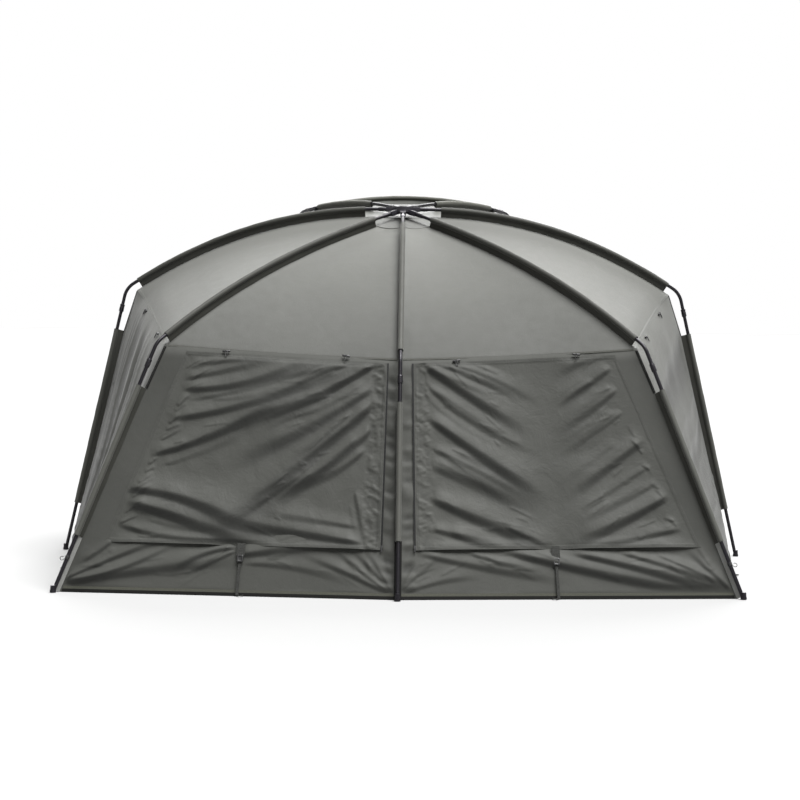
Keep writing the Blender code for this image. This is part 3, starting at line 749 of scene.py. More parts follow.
ROOF_CLOTH = cloth_material("roof_cloth", WALL_COLOUR, ROOF_COLOUR_AND_LIGHT, 0.62, 0.7)
WALL_CLOTH = cloth_material("wall_cloth", WALL_COLOUR, ROOF_COLOUR_AND_LIGHT)
COVER_CLOTH = cloth_material("cover_cloth", COVER_COLOUR, WALL_COLOUR, 0.66, 2.2, stitched=True)
CROWN_CLOTH = cloth_material("crown_cloth", (0.112, 0.114, 0.107), (0.130, 0.132, 0.124), 0.6, 0.6)
BROW_CLOTH = cloth_material("brow_cloth", (0.115, 0.117, 0.107), (0.056, 0.057, 0.045), 0.62, 0.8)
# Painted light: a darker copy of the sleeve cloth for the outer rear and side poles, which are in shade,
# and a paler one for the front poles, which are lit.
SHADED_SLEEVE_CLOTH = cloth_material("shaded_sleeve_cloth", DARK_WEB, (0.030, 0.0306, 0.0255), 0.62, 0.8)
LIT_FRONT_SLEEVE_CLOTH = cloth_material("lit_front_sleeve_cloth", (0.034, 0.035, 0.028), (0.058, 0.059, 0.047),
                                    0.62, 0.8)
SLEEVE_CLOTH = cloth_material("sleeve_cloth", DARK_WEB, CASING_COLOUR, 0.62, 0.8)
print("cloth colours from", WALL_COLOUR, "to", ROOF_COLOUR_AND_LIGHT)

# %% Metal, plastic and webbing
def plain_material(name, colour, roughness, metallic=0.0, grain=60.0, relief=0.0002,
                   wear=(0.5, 0.5, 0.5), **more):
    """Moulded plastic, webbing or metal: an even colour with faint wear, grain and changing gloss."""
    recipe = Recipe(name, Metallic=metallic, **more)
    place = recipe.where()
    grains = recipe.noise(place, grain, 3.0)
    scuffs = recipe.noise(place, grain * 0.3, 4.0, 0.65, 0.4).between(0.58, 0.80)
    recipe.colour(recipe.mix(colour, wear, scuffs * 0.10))
    recipe.roughness((grains - 0.5) * 0.22 + roughness)
    recipe.relief(grains * relief)
    return recipe.material


POLE_METAL = plain_material("pole_metal", (0.017, 0.0155, 0.019), 0.34, metallic=0.5, grain=240.0,
                            relief=0.00003, wear=(0.12, 0.115, 0.13))
# Painted highlight: this bright metal goes only on the rear middle pole's ferrule, which catches the light.
HIGHLIT_FERRULE_METAL = plain_material("highlit_ferrule_metal", (0.20, 0.195, 0.21), 0.24, metallic=1.0, grain=300.0,
                               relief=0.00002)
HUB_PLASTIC = plain_material("hub_plastic", (0.022, 0.020, 0.026), 0.42, grain=420.0, relief=0.00006,
                             wear=(0.12, 0.12, 0.13))
CLIP_PLASTIC = plain_material("clip_plastic", (0.014, 0.014, 0.014), 0.45, grain=500.0, relief=0.00006,
                              wear=(0.1, 0.1, 0.1))
BLACK_TAPE = plain_material("black_tape", (0.0065, 0.0065, 0.006), 0.7, grain=160.0, relief=0.0001,
                            wear=(0.04, 0.04, 0.035), Specular_IOR_Level=0.12)


def webbing_material(name, colour, step=0.0017):
    """Flat webbing: slanted ribs of a tight weave across the band."""
    recipe = Recipe(name, Specular_IOR_Level=0.3)
    place = recipe.where()
    slant = (recipe.axis(place, "Z") + recipe.axis(place, "X") * 0.6) * (2 * math.pi / step)
    ribs = slant.sine() * 0.5 + 0.5
    recipe.colour(recipe.mix(colour, tuple(1.8 * c for c in colour), ribs * 0.5))
    recipe.roughness(recipe.noise(place, 90.0) * 0.1 + 0.7)
    recipe.relief(ribs * 0.0003)
    return recipe.material


WEBBING = webbing_material("webbing_weave", (0.017, 0.0175, 0.0155))
GREY_TAPE = webbing_material("grey_tape_weave", (0.175, 0.176, 0.168), 0.0024)
ZIP_CHAIN = plain_material("zip_chain", (0.007, 0.007, 0.007), 0.5, grain=900.0, relief=0.0004,
                           wear=(0.05, 0.05, 0.05), Specular_IOR_Level=0.2)
SEAM_TAPE = webbing_material("seam_tape_weave", (0.034, 0.0345, 0.029), 0.0020)
OLIVE_TAPE = webbing_material("olive_tape_weave", (0.0400, 0.0405, 0.0310), 0.0022)
print("metal, plastic and webbing are ready")

# %% Finishing a piece
def finish_piece(piece, material, replaces=()):
    """Gives a piece its material and its body, and hides the solid that it stands for."""
    piece.data.materials.clear()
    piece.data.materials.append(material)
    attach(piece, "root")
    if replaces:
        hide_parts(*replaces)
    return piece


print("every piece rides on the body root")

# %% [markdown]
# ## Tapes that lie on the cloth
# Seams, hems, zips and bindings are all narrow tapes that follow a panel. One function makes any of them:
# it walks along a route on the panel, and lays a strip of a given width across the route, a little above
# the cloth. Small fittings that repeat are modelled once, and each copy gets its own mesh, moved to its
# place.

# %% Tapes and copies
ROUTE_STEP = 0.003


def surface_line(surface, panel, route, u):
    """Points, directions and normals along a route over a panel."""
    base, normal = surface(panel, *route(u))
    ahead = surface(panel, *route(np.minimum(u + ROUTE_STEP, 1.0)))[0]
    behind = surface(panel, *route(np.maximum(u - ROUTE_STEP, 0.0)))[0]
    along = ahead - behind
    along /= np.linalg.norm(along, axis=-1, keepdims=True)
    return base, along, normal


def tape(name, surface, panel, route, width, lift, length, thickness=0.0012, columns=60, ripple=0.0, seed=900,
         tone=0.0):
    """A strip on a panel. Its lift is how far its upper face stands over the cloth."""
    def shape(u, v):
        base, along, normal = surface_line(surface, panel, route, u)
        aside = np.cross(normal, along) * ((v - 0.5) * width)[:, None]
        height = lift + ripple * wave(u * length / 0.02, seed)
        return base + aside + normal * np.broadcast_to(height, u.shape)[:, None], {"tone": tone}
    return cloth_sheet(name, columns, 3, shape, (length, width), thickness)


def placed_copy(source, name, place, along, out):
    """A copy with its own mesh: the source's X turns to along, and its Z as near to out as it can."""
    x = Vector(along).normalized()
    y = Vector(out).cross(x).normalized()
    turn = Matrix((x, y, x.cross(y))).transposed()
    copy = bpy.data.objects.new(name, source.data.copy())
    copy.data.name = name
    copy.data.transform(Matrix.Translation(Vector(place)) @ turn.to_4x4())
    bpy.context.scene.collection.objects.link(copy)
    return copy


def height_share(panel, u, z):
    """How far down a wall a height above the ground is."""
    left, right = (float(RIBS[name].wall_corners()[1][1]) for name in panel[1:])
    return 1 - z * (1 - KNEE_SHARE) / (left + (right - left) * u)


print("tapes and copies are ready")

# %% [markdown]
# ## The roof
# The real roof is seven panels sewn edge to edge under the poles, so it is one continuous skin, and here
# it is one sheet too: the grid wraps right round the hub and its ends are merged. Tight cloth only
# dimples a little between the poles. Along each sleeve the thread draws it into small puckers, and the
# side panels, which slope most, keep a few soft upright folds. A cloth simulation was not needed, because
# tension, and not weight, makes this shape.

# %% Roof canopy
PANEL_COLUMNS = 70
ROOF_ROWS = 72
# Levels of painted light on the roof: most at the crown, less on the side panels, least at the seam.
CROWN_TONE = 0.93
SIDE_ROOF_TONE = 0.74
SEAM_TONE = 0.50
# The seam tape is darkened so that it shows no lit line.
SEAM_TAPE_TONE = 0.30


def seam_puckers(u, width, along, step, seed):
    """Short puckers beside both ribs, where the sleeve is sewn on."""
    beside = np.exp(-np.minimum(u, 1 - u) * width / 0.035)
    return wave(along / step, seed) * beside


def roof_shape(u, v):
    points = np.zeros((len(u), 3))
    tone = np.ones(len(u))
    number = np.minimum((u * len(PANELS)).astype(int), len(PANELS) - 1)
    for index, panel in enumerate(PANELS):
        here = number == index
        a, b = u[here] * len(PANELS) - index, v[here]
        base, normal = roof_cloth(panel, a, b)
        inside = smooth_step(np.minimum(a, 1 - a), 0.0, 0.06) * smooth_step(b, 0.0, 0.1)
        inside = inside * (1 - smooth_step(b, 0.94, 1.0))
        height = 0.0028 * mottle(base[:, 0] * 3 + index, base[:, 1] * 3 + base[:, 2] * 2, 5 + index)
        height = height + 0.0016 * seam_puckers(a, 1.05, b * 1.1, 0.045, 40 + index)
        # Painted light: the side panels darken towards the seam, the others from the crown to the seam.
        if has_soft_seam(panel):
            drape = base[:, 0] / 0.12 + 0.35 * mottle(a * 3, b * 4, 50 + index)
            height = height + 0.0060 * (folds(drape, 60 + index, 0.2) - 0.5) * smooth_step(b, 0.30, 0.75)
            tone[here] = SIDE_ROOF_TONE - (SIDE_ROOF_TONE - SEAM_TONE) * smooth_step(b, 0.60, 1.0)
        else:
            tone[here] = CROWN_TONE - CROWN_TONE * b
        points[here] = base + normal * (height * inside)[:, None]
    return points, {"tone": tone}


def make_seam_tapes():
    """The sewn seam between roof and walls, all the way round."""
    def route(u):
        return 0.012 + 0.976 * u, 0.994 + 0.0 * u

    seams = []
    for panel in PANELS:
        seam = tape(panel[0] + "_seam_tape", roof_cloth, panel, route, width=0.009, lift=0.0022, length=1.3,
                    thickness=0.0016, columns=70, ripple=0.0004, tone=SEAM_TAPE_TONE)
        seams.append(finish_piece(seam, ROOF_CLOTH if has_soft_seam(panel) else SEAM_TAPE))
    return seams


def make_roof():
    roof = cloth_sheet("roof_canopy", PANEL_COLUMNS * len(PANELS), ROOF_ROWS, roof_shape, (7.3, 1.15),
                       merge=True)
    finish_piece(roof, ROOF_CLOTH, [panel[0] + "_roof_panel" for panel in PANELS])
    [rib + "_roof_pole" for rib in RIBS] + ["brow_pole"]
    make_seam_tapes()
    return roof


ROOF = make_roof()
print("roof canopy of", len(ROOF.data.polygons), "faces")

# %% [markdown]
# ## The crown patch
# Under the hub a small paler patch covers the point where seven seams meet. It is sewn down along
# straight edges from pole to pole, so it is a seven-sided sheet that lies on the roof, raised by its own
# thickness.

# %% Crown patch
CROWN_LAP = 0.085
CROWN_INNER = 0.8


def crown_shape(u, v):
    """The outer fifth of the patch laps over the roof panels, and the rest spans to a low middle."""
    points = np.zeros((len(u), 3))
    number = np.minimum((u * len(PANELS)).astype(int), len(PANELS) - 1)
    apex = HUB_AXIS + UP * (HUB_HEIGHT - CANOPY_DROP - 0.004)
    for index, panel in enumerate(PANELS):
        here = number == index
        a, b = u[here] * len(PANELS) - index, v[here]
        near_middle = (1 - a) * (panel[1] == "rear_middle") + a * (panel[2] == "rear_middle")
        reach = CROWN_LAP * (1 - 0.85 * near_middle)
        lap, normal = roof_cloth(panel, a, np.clip((b - CROWN_INNER) / (1 - CROWN_INNER), 0.0, 1.0) * reach)
        share = np.clip(b / CROWN_INNER, 0.0, 1.0)[:, None]
        points[here] = apex + (lap - apex) * share + normal * 0.0022
    ripples = 0.0010 * mottle(points[:, 0] * 16, points[:, 1] * 16, 3)
    points[:, 2] += ripples * smooth_step(v, 0.02, 0.2) * (1 - v)
    return points, {"tone": 0.5}


def make_crown():
    crown = cloth_sheet("crown_cover", 7 * 14, 20, crown_shape, (1.0, 0.16), merge=True)
    finish_piece(crown, CROWN_CLOTH, ["crown_patch"])


make_crown()
print("crown patch laid")

# %% [markdown]
# ## The trim of the walls
# A black binding closes the foot of every wall, with an olive tape sewn above it. The binding is made as
# tall as the dark band at the foot, which is partly contact shadow, so it is partly painted shadow. At the
# shoulder, where the wall is cut away beside the pole's bend, its edge is piped, and below its sleeve each
# outer rear pole is held to the wall by a broad grey tape, because that is where the pegs pull. All but the
# last are tapes along a route over the wall.

# %% Wall trim
# The binding's height covers the dark band at the foot, partly painted contact shadow.
HEM_AND_SHADOW_HEIGHT = 0.013
HEM_THICKNESS = 0.0052
LEG_TAPE_WIDTH = 0.030


def make_hem(panel, first=0.006, last=0.994, name=None):
    """The black binding round the foot, seen from both sides and partly painted contact shadow, and the olive
    tape above it.
    """
    name = name or panel[0]
    def at(z):
        def route(u):
            share = first + (last - first) * u
            return share, height_share(panel, share, z)
        return route
    length = 1.4 * (last - first)
    columns = max(int(80 * (last - first)), 12)
    hem = tape(name + "_hem", wall_cloth, panel, at(HEM_AND_SHADOW_HEIGHT / 2), width=HEM_AND_SHADOW_HEIGHT, lift=0.0024,
               length=length, thickness=HEM_THICKNESS, columns=columns)
    olive = tape(name + "_hem_tape", wall_cloth, panel, at(HEM_AND_SHADOW_HEIGHT + 0.005), width=0.012, lift=0.0022,
                 length=length, thickness=0.0014, columns=columns)
    return [finish_piece(hem, BLACK_TAPE), finish_piece(olive, OLIVE_TAPE)]


def make_piping(panel):
    """Piping down the cut-away edge at the shoulder, beside each of the panel's two poles."""
    pieces = []
    for end in (0, 1):
        def route(u):
            return abs(end - 0.0045) + 0.0 * u, 0.004 + (KNEE_SHARE - 0.004) * u
        piping = tape(f"{panel[0]}_piping_{panel[1 + end]}", wall_cloth, panel, route, width=0.0065,
                      lift=0.0026, length=0.2, thickness=0.0042, columns=16)
        pieces.append(finish_piece(piping, BLACK_TAPE))
    return pieces


def leg_strip_shape(rib, flat):
    """Tape below a leg's sleeve: in the web's plane, from the pole in to the wall, or flat over the seam."""
    out = square_to(rib.down)
    outward = out[0] * rib.out + out[1] * UP
    top = rib.leg_length - (SLEEVE_ABOVE_GROUND + 0.01) / abs(rib.down[1])

    def shape(u, v):
        length = top + (rib.leg_length - 0.012 - top) * u
        share = (length - CHAMFER_BELOW_BEND) / (rib.leg_length - CHAMFER_BELOW_BEND)
        drop = CANOPY_DROP + (CORNER_DROP - CANOPY_DROP) * share
        depth = drop - 0.004 if flat else 0.005 + (drop - 0.005) * v
        across = (v - 0.5) * LEG_TAPE_WIDTH if flat else 0.0 * v
        return rib.place(rib.leg_point(length)) - outward * depth[:, None] + rib.side * across[:, None], {}
    return shape


def make_leg_tape(rib_name, flat=False):
    shape = leg_strip_shape(RIBS[rib_name], flat)
    strip = cloth_sheet(rib_name + "_leg_tape", 24, 3, shape, (0.24, LEG_TAPE_WIDTH), 0.0016)
    return [finish_piece(strip, BLACK_TAPE if flat else GREY_TAPE)]


def wall_trim(panel):
    return make_hem(panel) + make_piping(panel)


print("hems, piping and leg tapes can be sewn on")

# %% [markdown]
# ## The rear walls
# Below the shoulder seam each rear wall runs to the ground as one panel, with a window cut in it. Most of
# it hides behind its storm cover, and the skirt below shows. The skirt is held at its two corners and by
# the strap, so its folds run out from those points. The window is cut by removing the grid's faces inside
# it before the cloth gets its thickness, which is what scissors would do.

# %% Skirt folds
# Each fold: its pulled end's x and z, its loose end's x and z, its bow, its half width and its rise.
LEFT_SKIRT_FOLDS = [
    (-1.395, 0.041, -0.975, 0.214, 0.005, 0.0091, 0.009),
    (-1.387, 0.033, -0.918, 0.202, -0.026, 0.0091, 0.008),
    (-1.403, 0.029, -0.675, 0.132, 0.006, 0.0181, 0.011),
    (-0.671, 0.185, -0.934, 0.086, 0.019, 0.0099, 0.009),
    (-0.671, 0.173, -0.881, 0.074, 0.0, 0.0074, 0.006),
    (-0.654, 0.156, -0.325, 0.202, -0.003, 0.0165, 0.011),
    (-0.033, 0.016, -0.379, 0.156, 0.005, 0.0091, 0.007),
    (-0.029, 0.021, -0.263, 0.189, -0.005, 0.0074, 0.005),
    (-0.025, 0.025, -0.193, 0.189, 0.004, 0.0074, 0.005),
    (-0.021, 0.025, -0.128, 0.185, 0.0, 0.0066, 0.005),
    (-0.634, 0.123, -0.202, 0.058, 0.018, 0.0123, 0.005),
    (-1.189, 0.206, -1.333, 0.107, -0.006, 0.0082, 0.006),
]
RIGHT_SKIRT_FOLDS = [
    (0.091, 0.173, 0.663, 0.07, -0.007, 0.014, 0.008),
    (0.292, 0.177, 0.58, 0.107, -0.007, 0.0091, 0.006),
    (0.436, 0.181, 1.321, 0.004, -0.008, 0.0181, 0.015),
    (0.724, 0.173, 1.342, 0.016, 0.009, 0.0156, 0.013),
    (0.918, 0.177, 1.354, 0.033, 0.009, 0.0123, 0.009),
    (0.021, 0.016, 0.333, 0.082, 0.016, 0.0099, 0.005),
    (0.021, 0.033, 0.169, 0.156, 0.008, 0.0074, 0.004),
    (1.395, 0.016, 1.206, 0.185, -0.004, 0.0099, 0.007),
    (1.074, 0.169, 1.362, 0.041, 0.001, 0.0082, 0.005),
]


def skirt_folds(x, z, side):
    lines = LEFT_SKIRT_FOLDS if side < 0 else RIGHT_SKIRT_FOLDS
    height, shade = fold_lines(x, z, lines + small_creases(lines, 40, 210 + side))
    low = smooth_step(z, 0.022, 0.055) * (1 - smooth_step(z, 0.24, 0.34))
    return height * low, shade * low


print(len(LEFT_SKIRT_FOLDS), "folds on the left skirt and", len(RIGHT_SKIRT_FOLDS), "on the right one")

# %% Rear walls
WINDOW_SIDES = (0.26, 0.74)
WINDOW_STATIONS = (0.06, 0.54)
WINDOW_T = tuple(KNEE_SHARE + (1 - KNEE_SHARE) * share for share in WINDOW_STATIONS)
REAR_COLUMNS = 216
REAR_ROWS = 150


def row_share(v):
    """Rows lie closer together near the ground, where the folds are."""
    return v + 0.12 * np.sin(math.pi * v)


def rear_wall_shape(panel, side):
    seed = 200 if side < 0 else 260

    def shape(u, v):
        t = row_share(v)
        base, normal = wall_cloth(panel, u, t)
        x, z = base[:, 0] * side, base[:, 2]
        share = u if side < 0 else 1 - u
        inside = smooth_step(np.minimum(u, 1 - u), 0.0, 0.016) * (1 - smooth_step(t, 0.966, 0.984))
        height, shade = skirt_folds(base[:, 0], z, side)
        beside_pole = np.exp(-((share - 0.032) / 0.02) ** 2)
        pucker = wave(z / 0.021 + 0.3 * wave(x / 0.02, seed + 4), seed + 5) * beside_pole
        below_seam = smooth_step(t, 0.03, 0.1)
        height = height + 0.0060 * pucker * below_seam + 0.003 * mottle(x * 5, z * 5, seed + 7)
        # Painted shade in the puckers' hollows, and darker towards the outer edge.
        shade = shade + 0.7 * smooth_step(-pucker, 0.15, 0.8) * below_seam
        shade = np.clip(shade + 0.22 * smooth_step(share, 0.84, 0.97), 0.0, 1.0)
        # Painted light: paler just below the seam, where the wall meets the roof.
        tone = 0.34 * (1 - smooth_step(t, 0.010, 0.045))
        return base + normal * (height * inside)[:, None], {"tone": tone, "shade": shade}
    return shape


def window_hole(u, v):
    return WINDOW_SIDES[0] < u < WINDOW_SIDES[1] and WINDOW_T[0] < row_share(v) < WINDOW_T[1]


def window_binding(name):
    """Four tapes folded over the window's raw edge."""
    (left, right), (top, foot) = WINDOW_SIDES, WINDOW_T
    runs = {"top": (left, right, top, top), "foot": (left, right, foot, foot),
            "left": (left, left, top, foot), "right": (right, right, top, foot)}
    pieces = []
    for where, (u0, u1, t0, t1) in runs.items():
        def route(u):
            return u0 + (u1 - u0) * u, t0 + (t1 - t0) * u
        strip = tape(f"{name}_window_binding_{where}", wall_cloth, PANEL[name], route, width=0.018,
                     lift=0.0010, length=0.6, thickness=0.0042, columns=40)
        pieces.append(finish_piece(strip, SEAM_TAPE))
    return pieces


def make_rear_walls():
    for name, side in (("rear_left", -1), ("rear_right", 1)):
        wall = cloth_sheet(name + "_wall_cloth", REAR_COLUMNS, REAR_ROWS, rear_wall_shape(PANEL[name], side),
                           (1.25, 1.15), holes=window_hole)
        finish_piece(wall, WALL_CLOTH, [name + "_wall"])
        trim = wall_trim(PANEL[name]) + make_leg_tape(name) + window_binding(name)
        if side < 0:
            trim += make_leg_tape("rear_middle", flat=True)
        print(wall.name, len(wall.data.polygons), "faces")


make_rear_walls()

# %% [markdown]
# ## The storm covers
# These two flaps are what the photograph shows best. Each is zipped down the side by the middle pole,
# sewn down the other side and pulled down by one strap at its foot. On the left one the folds fall away
# from the top corner by the pole in long slanting lines; on the right one they meet in a wide V above the
# strap. Both have gathers down the zip and short tucks by the slanting side. The height of a point is the
# sum of these, each one fading where it should.

# %% Cover folds
STRAP_X = 0.665
# Each fold as on the skirts: pulled end, loose end, bow, half width and rise.
LEFT_COVER_FOLDS = [
    (-0.914, 0.872, -0.613, 0.934, -0.001, 0.0107, 0.007),
    (-0.918, 0.827, -0.457, 0.922, -0.027, 0.014, 0.012),
    (-0.959, 0.704, -0.317, 0.881, -0.026, 0.0148, 0.012),
    (-1.037, 0.556, -0.593, 0.733, -0.019, 0.0132, 0.013),
    (-0.086, 0.955, -0.593, 0.716, -0.025, 0.014, 0.013),
    (-0.111, 0.84, -0.58, 0.576, -0.018, 0.0189, 0.013),
    (-0.095, 0.782, -0.613, 0.354, -0.004, 0.0198, 0.016),
    (-0.095, 0.691, -0.461, 0.416, -0.024, 0.0132, 0.009),
    (-0.144, 0.584, -0.395, 0.44, -0.019, 0.0123, 0.008),
    (-1.144, 0.412, -0.716, 0.296, 0.024, 0.0173, 0.015),
    (-1.132, 0.358, -0.679, 0.214, 0.007, 0.0173, 0.015),
    (-1.165, 0.267, -0.683, 0.202, -0.017, 0.0115, 0.009),
    (-0.152, 0.21, -0.642, 0.272, 0.0, 0.0148, 0.015),
    (-0.185, 0.42, -0.136, 0.218, -0.004, 0.0074, 0.005),
    (-0.877, 0.934, -0.564, 0.959, 0.003, 0.0091, 0.004),
    (-0.222, 0.93, -0.469, 0.831, 0.011, 0.0082, 0.005),
    (-0.284, 0.807, -0.564, 0.7, 0.006, 0.0082, 0.004),
    (-0.202, 0.733, -0.424, 0.56, -0.005, 0.0091, 0.005),
    (-0.407, 0.473, -0.621, 0.325, 0.003, 0.0082, 0.004),
    (-0.111, 0.971, -0.449, 0.885, -0.003, 0.0082, 0.005),
]
RIGHT_COVER_FOLDS = [
    (0.074, 0.975, 0.498, 0.811, 0.003, 0.0107, 0.008),
    (0.086, 0.947, 0.531, 0.663, -0.006, 0.0156, 0.014),
    (0.107, 0.86, 0.58, 0.572, -0.031, 0.0107, 0.006),
    (0.119, 0.716, 0.601, 0.391, -0.004, 0.0173, 0.015),
    (0.128, 0.601, 0.58, 0.366, 0.003, 0.0107, 0.005),
    (0.128, 0.523, 0.58, 0.329, 0.005, 0.0206, 0.009),
    (0.128, 0.391, 0.621, 0.198, -0.006, 0.0181, 0.015),
    (0.128, 0.272, 0.424, 0.206, -0.001, 0.0107, 0.008),
    (0.444, 0.276, 0.634, 0.193, 0.0, 0.0074, 0.005),
    (0.169, 0.955, 0.58, 0.786, 0.018, 0.0082, 0.004),
    (0.893, 0.988, 0.663, 0.897, 0.012, 0.0123, 0.006),
    (0.901, 0.934, 0.687, 0.778, 0.0, 0.0132, 0.008),
    (0.926, 0.844, 0.671, 0.663, -0.006, 0.014, 0.008),
    (0.951, 0.753, 0.687, 0.572, -0.005, 0.0107, 0.005),
    (1.029, 0.63, 0.712, 0.399, -0.001, 0.0156, 0.01),
    (1.053, 0.527, 0.724, 0.313, 0.003, 0.0099, 0.004),
    (1.123, 0.399, 0.712, 0.202, -0.009, 0.0165, 0.016),
    (1.173, 0.272, 0.786, 0.193, -0.001, 0.0115, 0.008),
    (0.827, 0.877, 0.663, 0.761, 0.007, 0.0074, 0.004),
]


def side_tucks(side, seed):
    """Short tension folds that leave the slanting side upwards and inwards, fewer on the right cover."""
    pick = np.random.default_rng(seed)
    tucks = []
    low, high = (0.0015, 0.0052) if side < 0 else (0.0010, 0.0030)
    for z in np.arange(0.28, 0.88 if side < 0 else 0.66, 0.041):
        z = z + pick.uniform(-0.017, 0.017)
        x = 0.880 + 0.46 * (0.89 - z)
        climb, run = pick.uniform(0.005, 0.055), pick.uniform(0.03, 0.09 if side < 0 else 0.05)
        half, rise = pick.uniform(0.004, 0.0068), pick.uniform(low, high)
        tucks.append((side * x, z, side * (x - run), z + climb, 0.0, half, rise))
    return tucks


def cover_folds(x, z, side):
    lines = LEFT_COVER_FOLDS if side < 0 else RIGHT_COVER_FOLDS
    lines = [(*line[:5], line[5] * 1.25, line[6]) for line in lines]
    creases = [crease for crease in small_creases(lines, 60, 340 + side)
               if abs(abs(crease[0] + crease[2]) / 2 - STRAP_X) > 0.09]
    creases = creases + companions(lines, 330 + side) + side_tucks(side, 350 + side)
    broad, fine = fold_lines(x, z, lines, 1.25 if side < 0 else 1.0), fold_lines(x, z, creases)
    return broad[0] + fine[0], np.clip(broad[1] + fine[1], 0.0, 1.0)


print(len(LEFT_COVER_FOLDS), "folds on the left cover and", len(RIGHT_COVER_FOLDS), "on the right one")

# %% Storm covers
COVER_SIDES = (0.055, 0.90)
COVER_TOP = 0.10 * KNEE_SHARE
COVER_FOOT = KNEE_SHARE + (1 - KNEE_SHARE) * 0.755
COVER_LIFT = 0.0035
COVER_SIZE = (1.05, 0.87)
COVER_COLUMNS = 226
COVER_ROWS = 196
COVER_FLARE = {-1: 0.034, 1: 0.062}
ZIP_SHARE = COVER_SIDES[0] - 0.0035


def gathers(x, z, seed):
    """The crinkles of cloth drawn in along a zip: small slanting hills, wider than they are tall."""
    large = mottle(x / 0.030 + 3, (z + 0.45 * x) / 0.0185, seed)
    return large * 0.0034 + mottle(x / 0.015, (z - 0.3 * x) / 0.0105 + 5, seed + 1) * 0.0014


def cover_shape(panel, side):
    seed = 400 if side < 0 else 460
    width, length = COVER_SIZE

    def shape(u, t):
        to_corner = 1 - u if side < 0 else u
        to_pole = 1 - to_corner
        b = COVER_TOP + (COVER_FOOT - COVER_TOP) * t
        corner_side = COVER_SIDES[1] + COVER_FLARE[side] * b
        share = COVER_SIDES[0] + (corner_side - COVER_SIDES[0]) * to_pole
        base, normal = wall_cloth(panel, share if side < 0 else 1 - share, b)
        x, z = base[:, 0], base[:, 2]
        to_pole, to_corner = to_pole * width, to_corner * width
        height, shade = cover_folds(x, z, side)
        beside, above = np.minimum(to_pole, to_corner), np.minimum(t, 1 - t) * length
        edge = np.minimum(beside, above)
        strip = smooth_step(to_pole, 0.004, 0.014) * (1 - smooth_step(to_pole, 0.055, 0.085))
        clear = 1 - 0.75 * strip
        height = height * smooth_step(edge, 0.0, 0.028) * clear
        shade = shade * smooth_step(edge, 0.0, 0.020) * clear
        crinkle = gathers(x, z, seed)
        height = height + crinkle * strip
        # Painted shade in the hollows of the gathers.
        shade = shade + smooth_step(-crinkle, 0.0002, 0.0040) * strip * 0.45
        height = height + 0.0030 * mottle(x * 5, z * 5, seed + 2) + 0.0010 * mottle(x * 17, z * 17, seed + 3)
        hem = 0.0014 * (1 - smooth_step(edge, 0.013, 0.016))
        droop = 0.012 * smooth_step(t, 0.93, 1.0) * smooth_step(np.abs(x * side - STRAP_X), 0.03, 0.14)
        droop = droop * smooth_step(beside, 0.0, 0.12)
        height = np.maximum(height, -0.001) + COVER_LIFT + hem + droop
        along = np.where(beside < above, t * length, u * width)
        numbers = {"shade": np.clip(shade, 0.0, 1.0), "edge": edge, "along": along}
        return base + normal * height[:, None], numbers
    return shape


def make_zip(name, side):
    """The bare zip chain down the cover's side by the middle pole. The other side is sewn down."""
    def route(u):
        share = ZIP_SHARE + 0.0 * u
        return (share if side < 0 else 1 - share), COVER_TOP + (COVER_FOOT + 0.004 - COVER_TOP) * u
    chain = tape(name + "_zip_chain", wall_cloth, PANEL[name], route, width=0.0064, lift=0.0054,
                 length=0.87, thickness=0.0036, columns=120)
    return [finish_piece(chain, ZIP_CHAIN)]


def make_covers():
    for name, side in (("rear_left", -1), ("rear_right", 1)):
        cover = cloth_sheet(name + "_storm_cover", COVER_COLUMNS, COVER_ROWS, cover_shape(PANEL[name], side),
                            COVER_SIZE)
        finish_piece(cover, COVER_CLOTH, [name + "_window_cover"])
        make_zip(name, side)
        print(cover.name, len(cover.data.polygons), "faces")


make_covers()

# %% [markdown]
# ## The side walls
# The walls beside the rear ones, and the two that slope round to the front, are plain panels. They stand
# steeper than the roof, hang looser, and so show long soft folds that die out at the seam and at the
# ground. They run up and down on three of them, and nearly level on the one beside the right rear wall.

# %% Side walls
SIDE_COLUMNS = 96
SIDE_ROWS = 104
SIDE_FOLD_STEP = 0.105
# How the folds of each wall run: the weights of across and down in their direction.
SIDE_FOLD_RUNS = {"side_left": (1.25, 0.12), "front_left": (1.25, -0.15), "front_right": (1.25, 0.15),
                  "side_right": (-0.145, 1.10)}


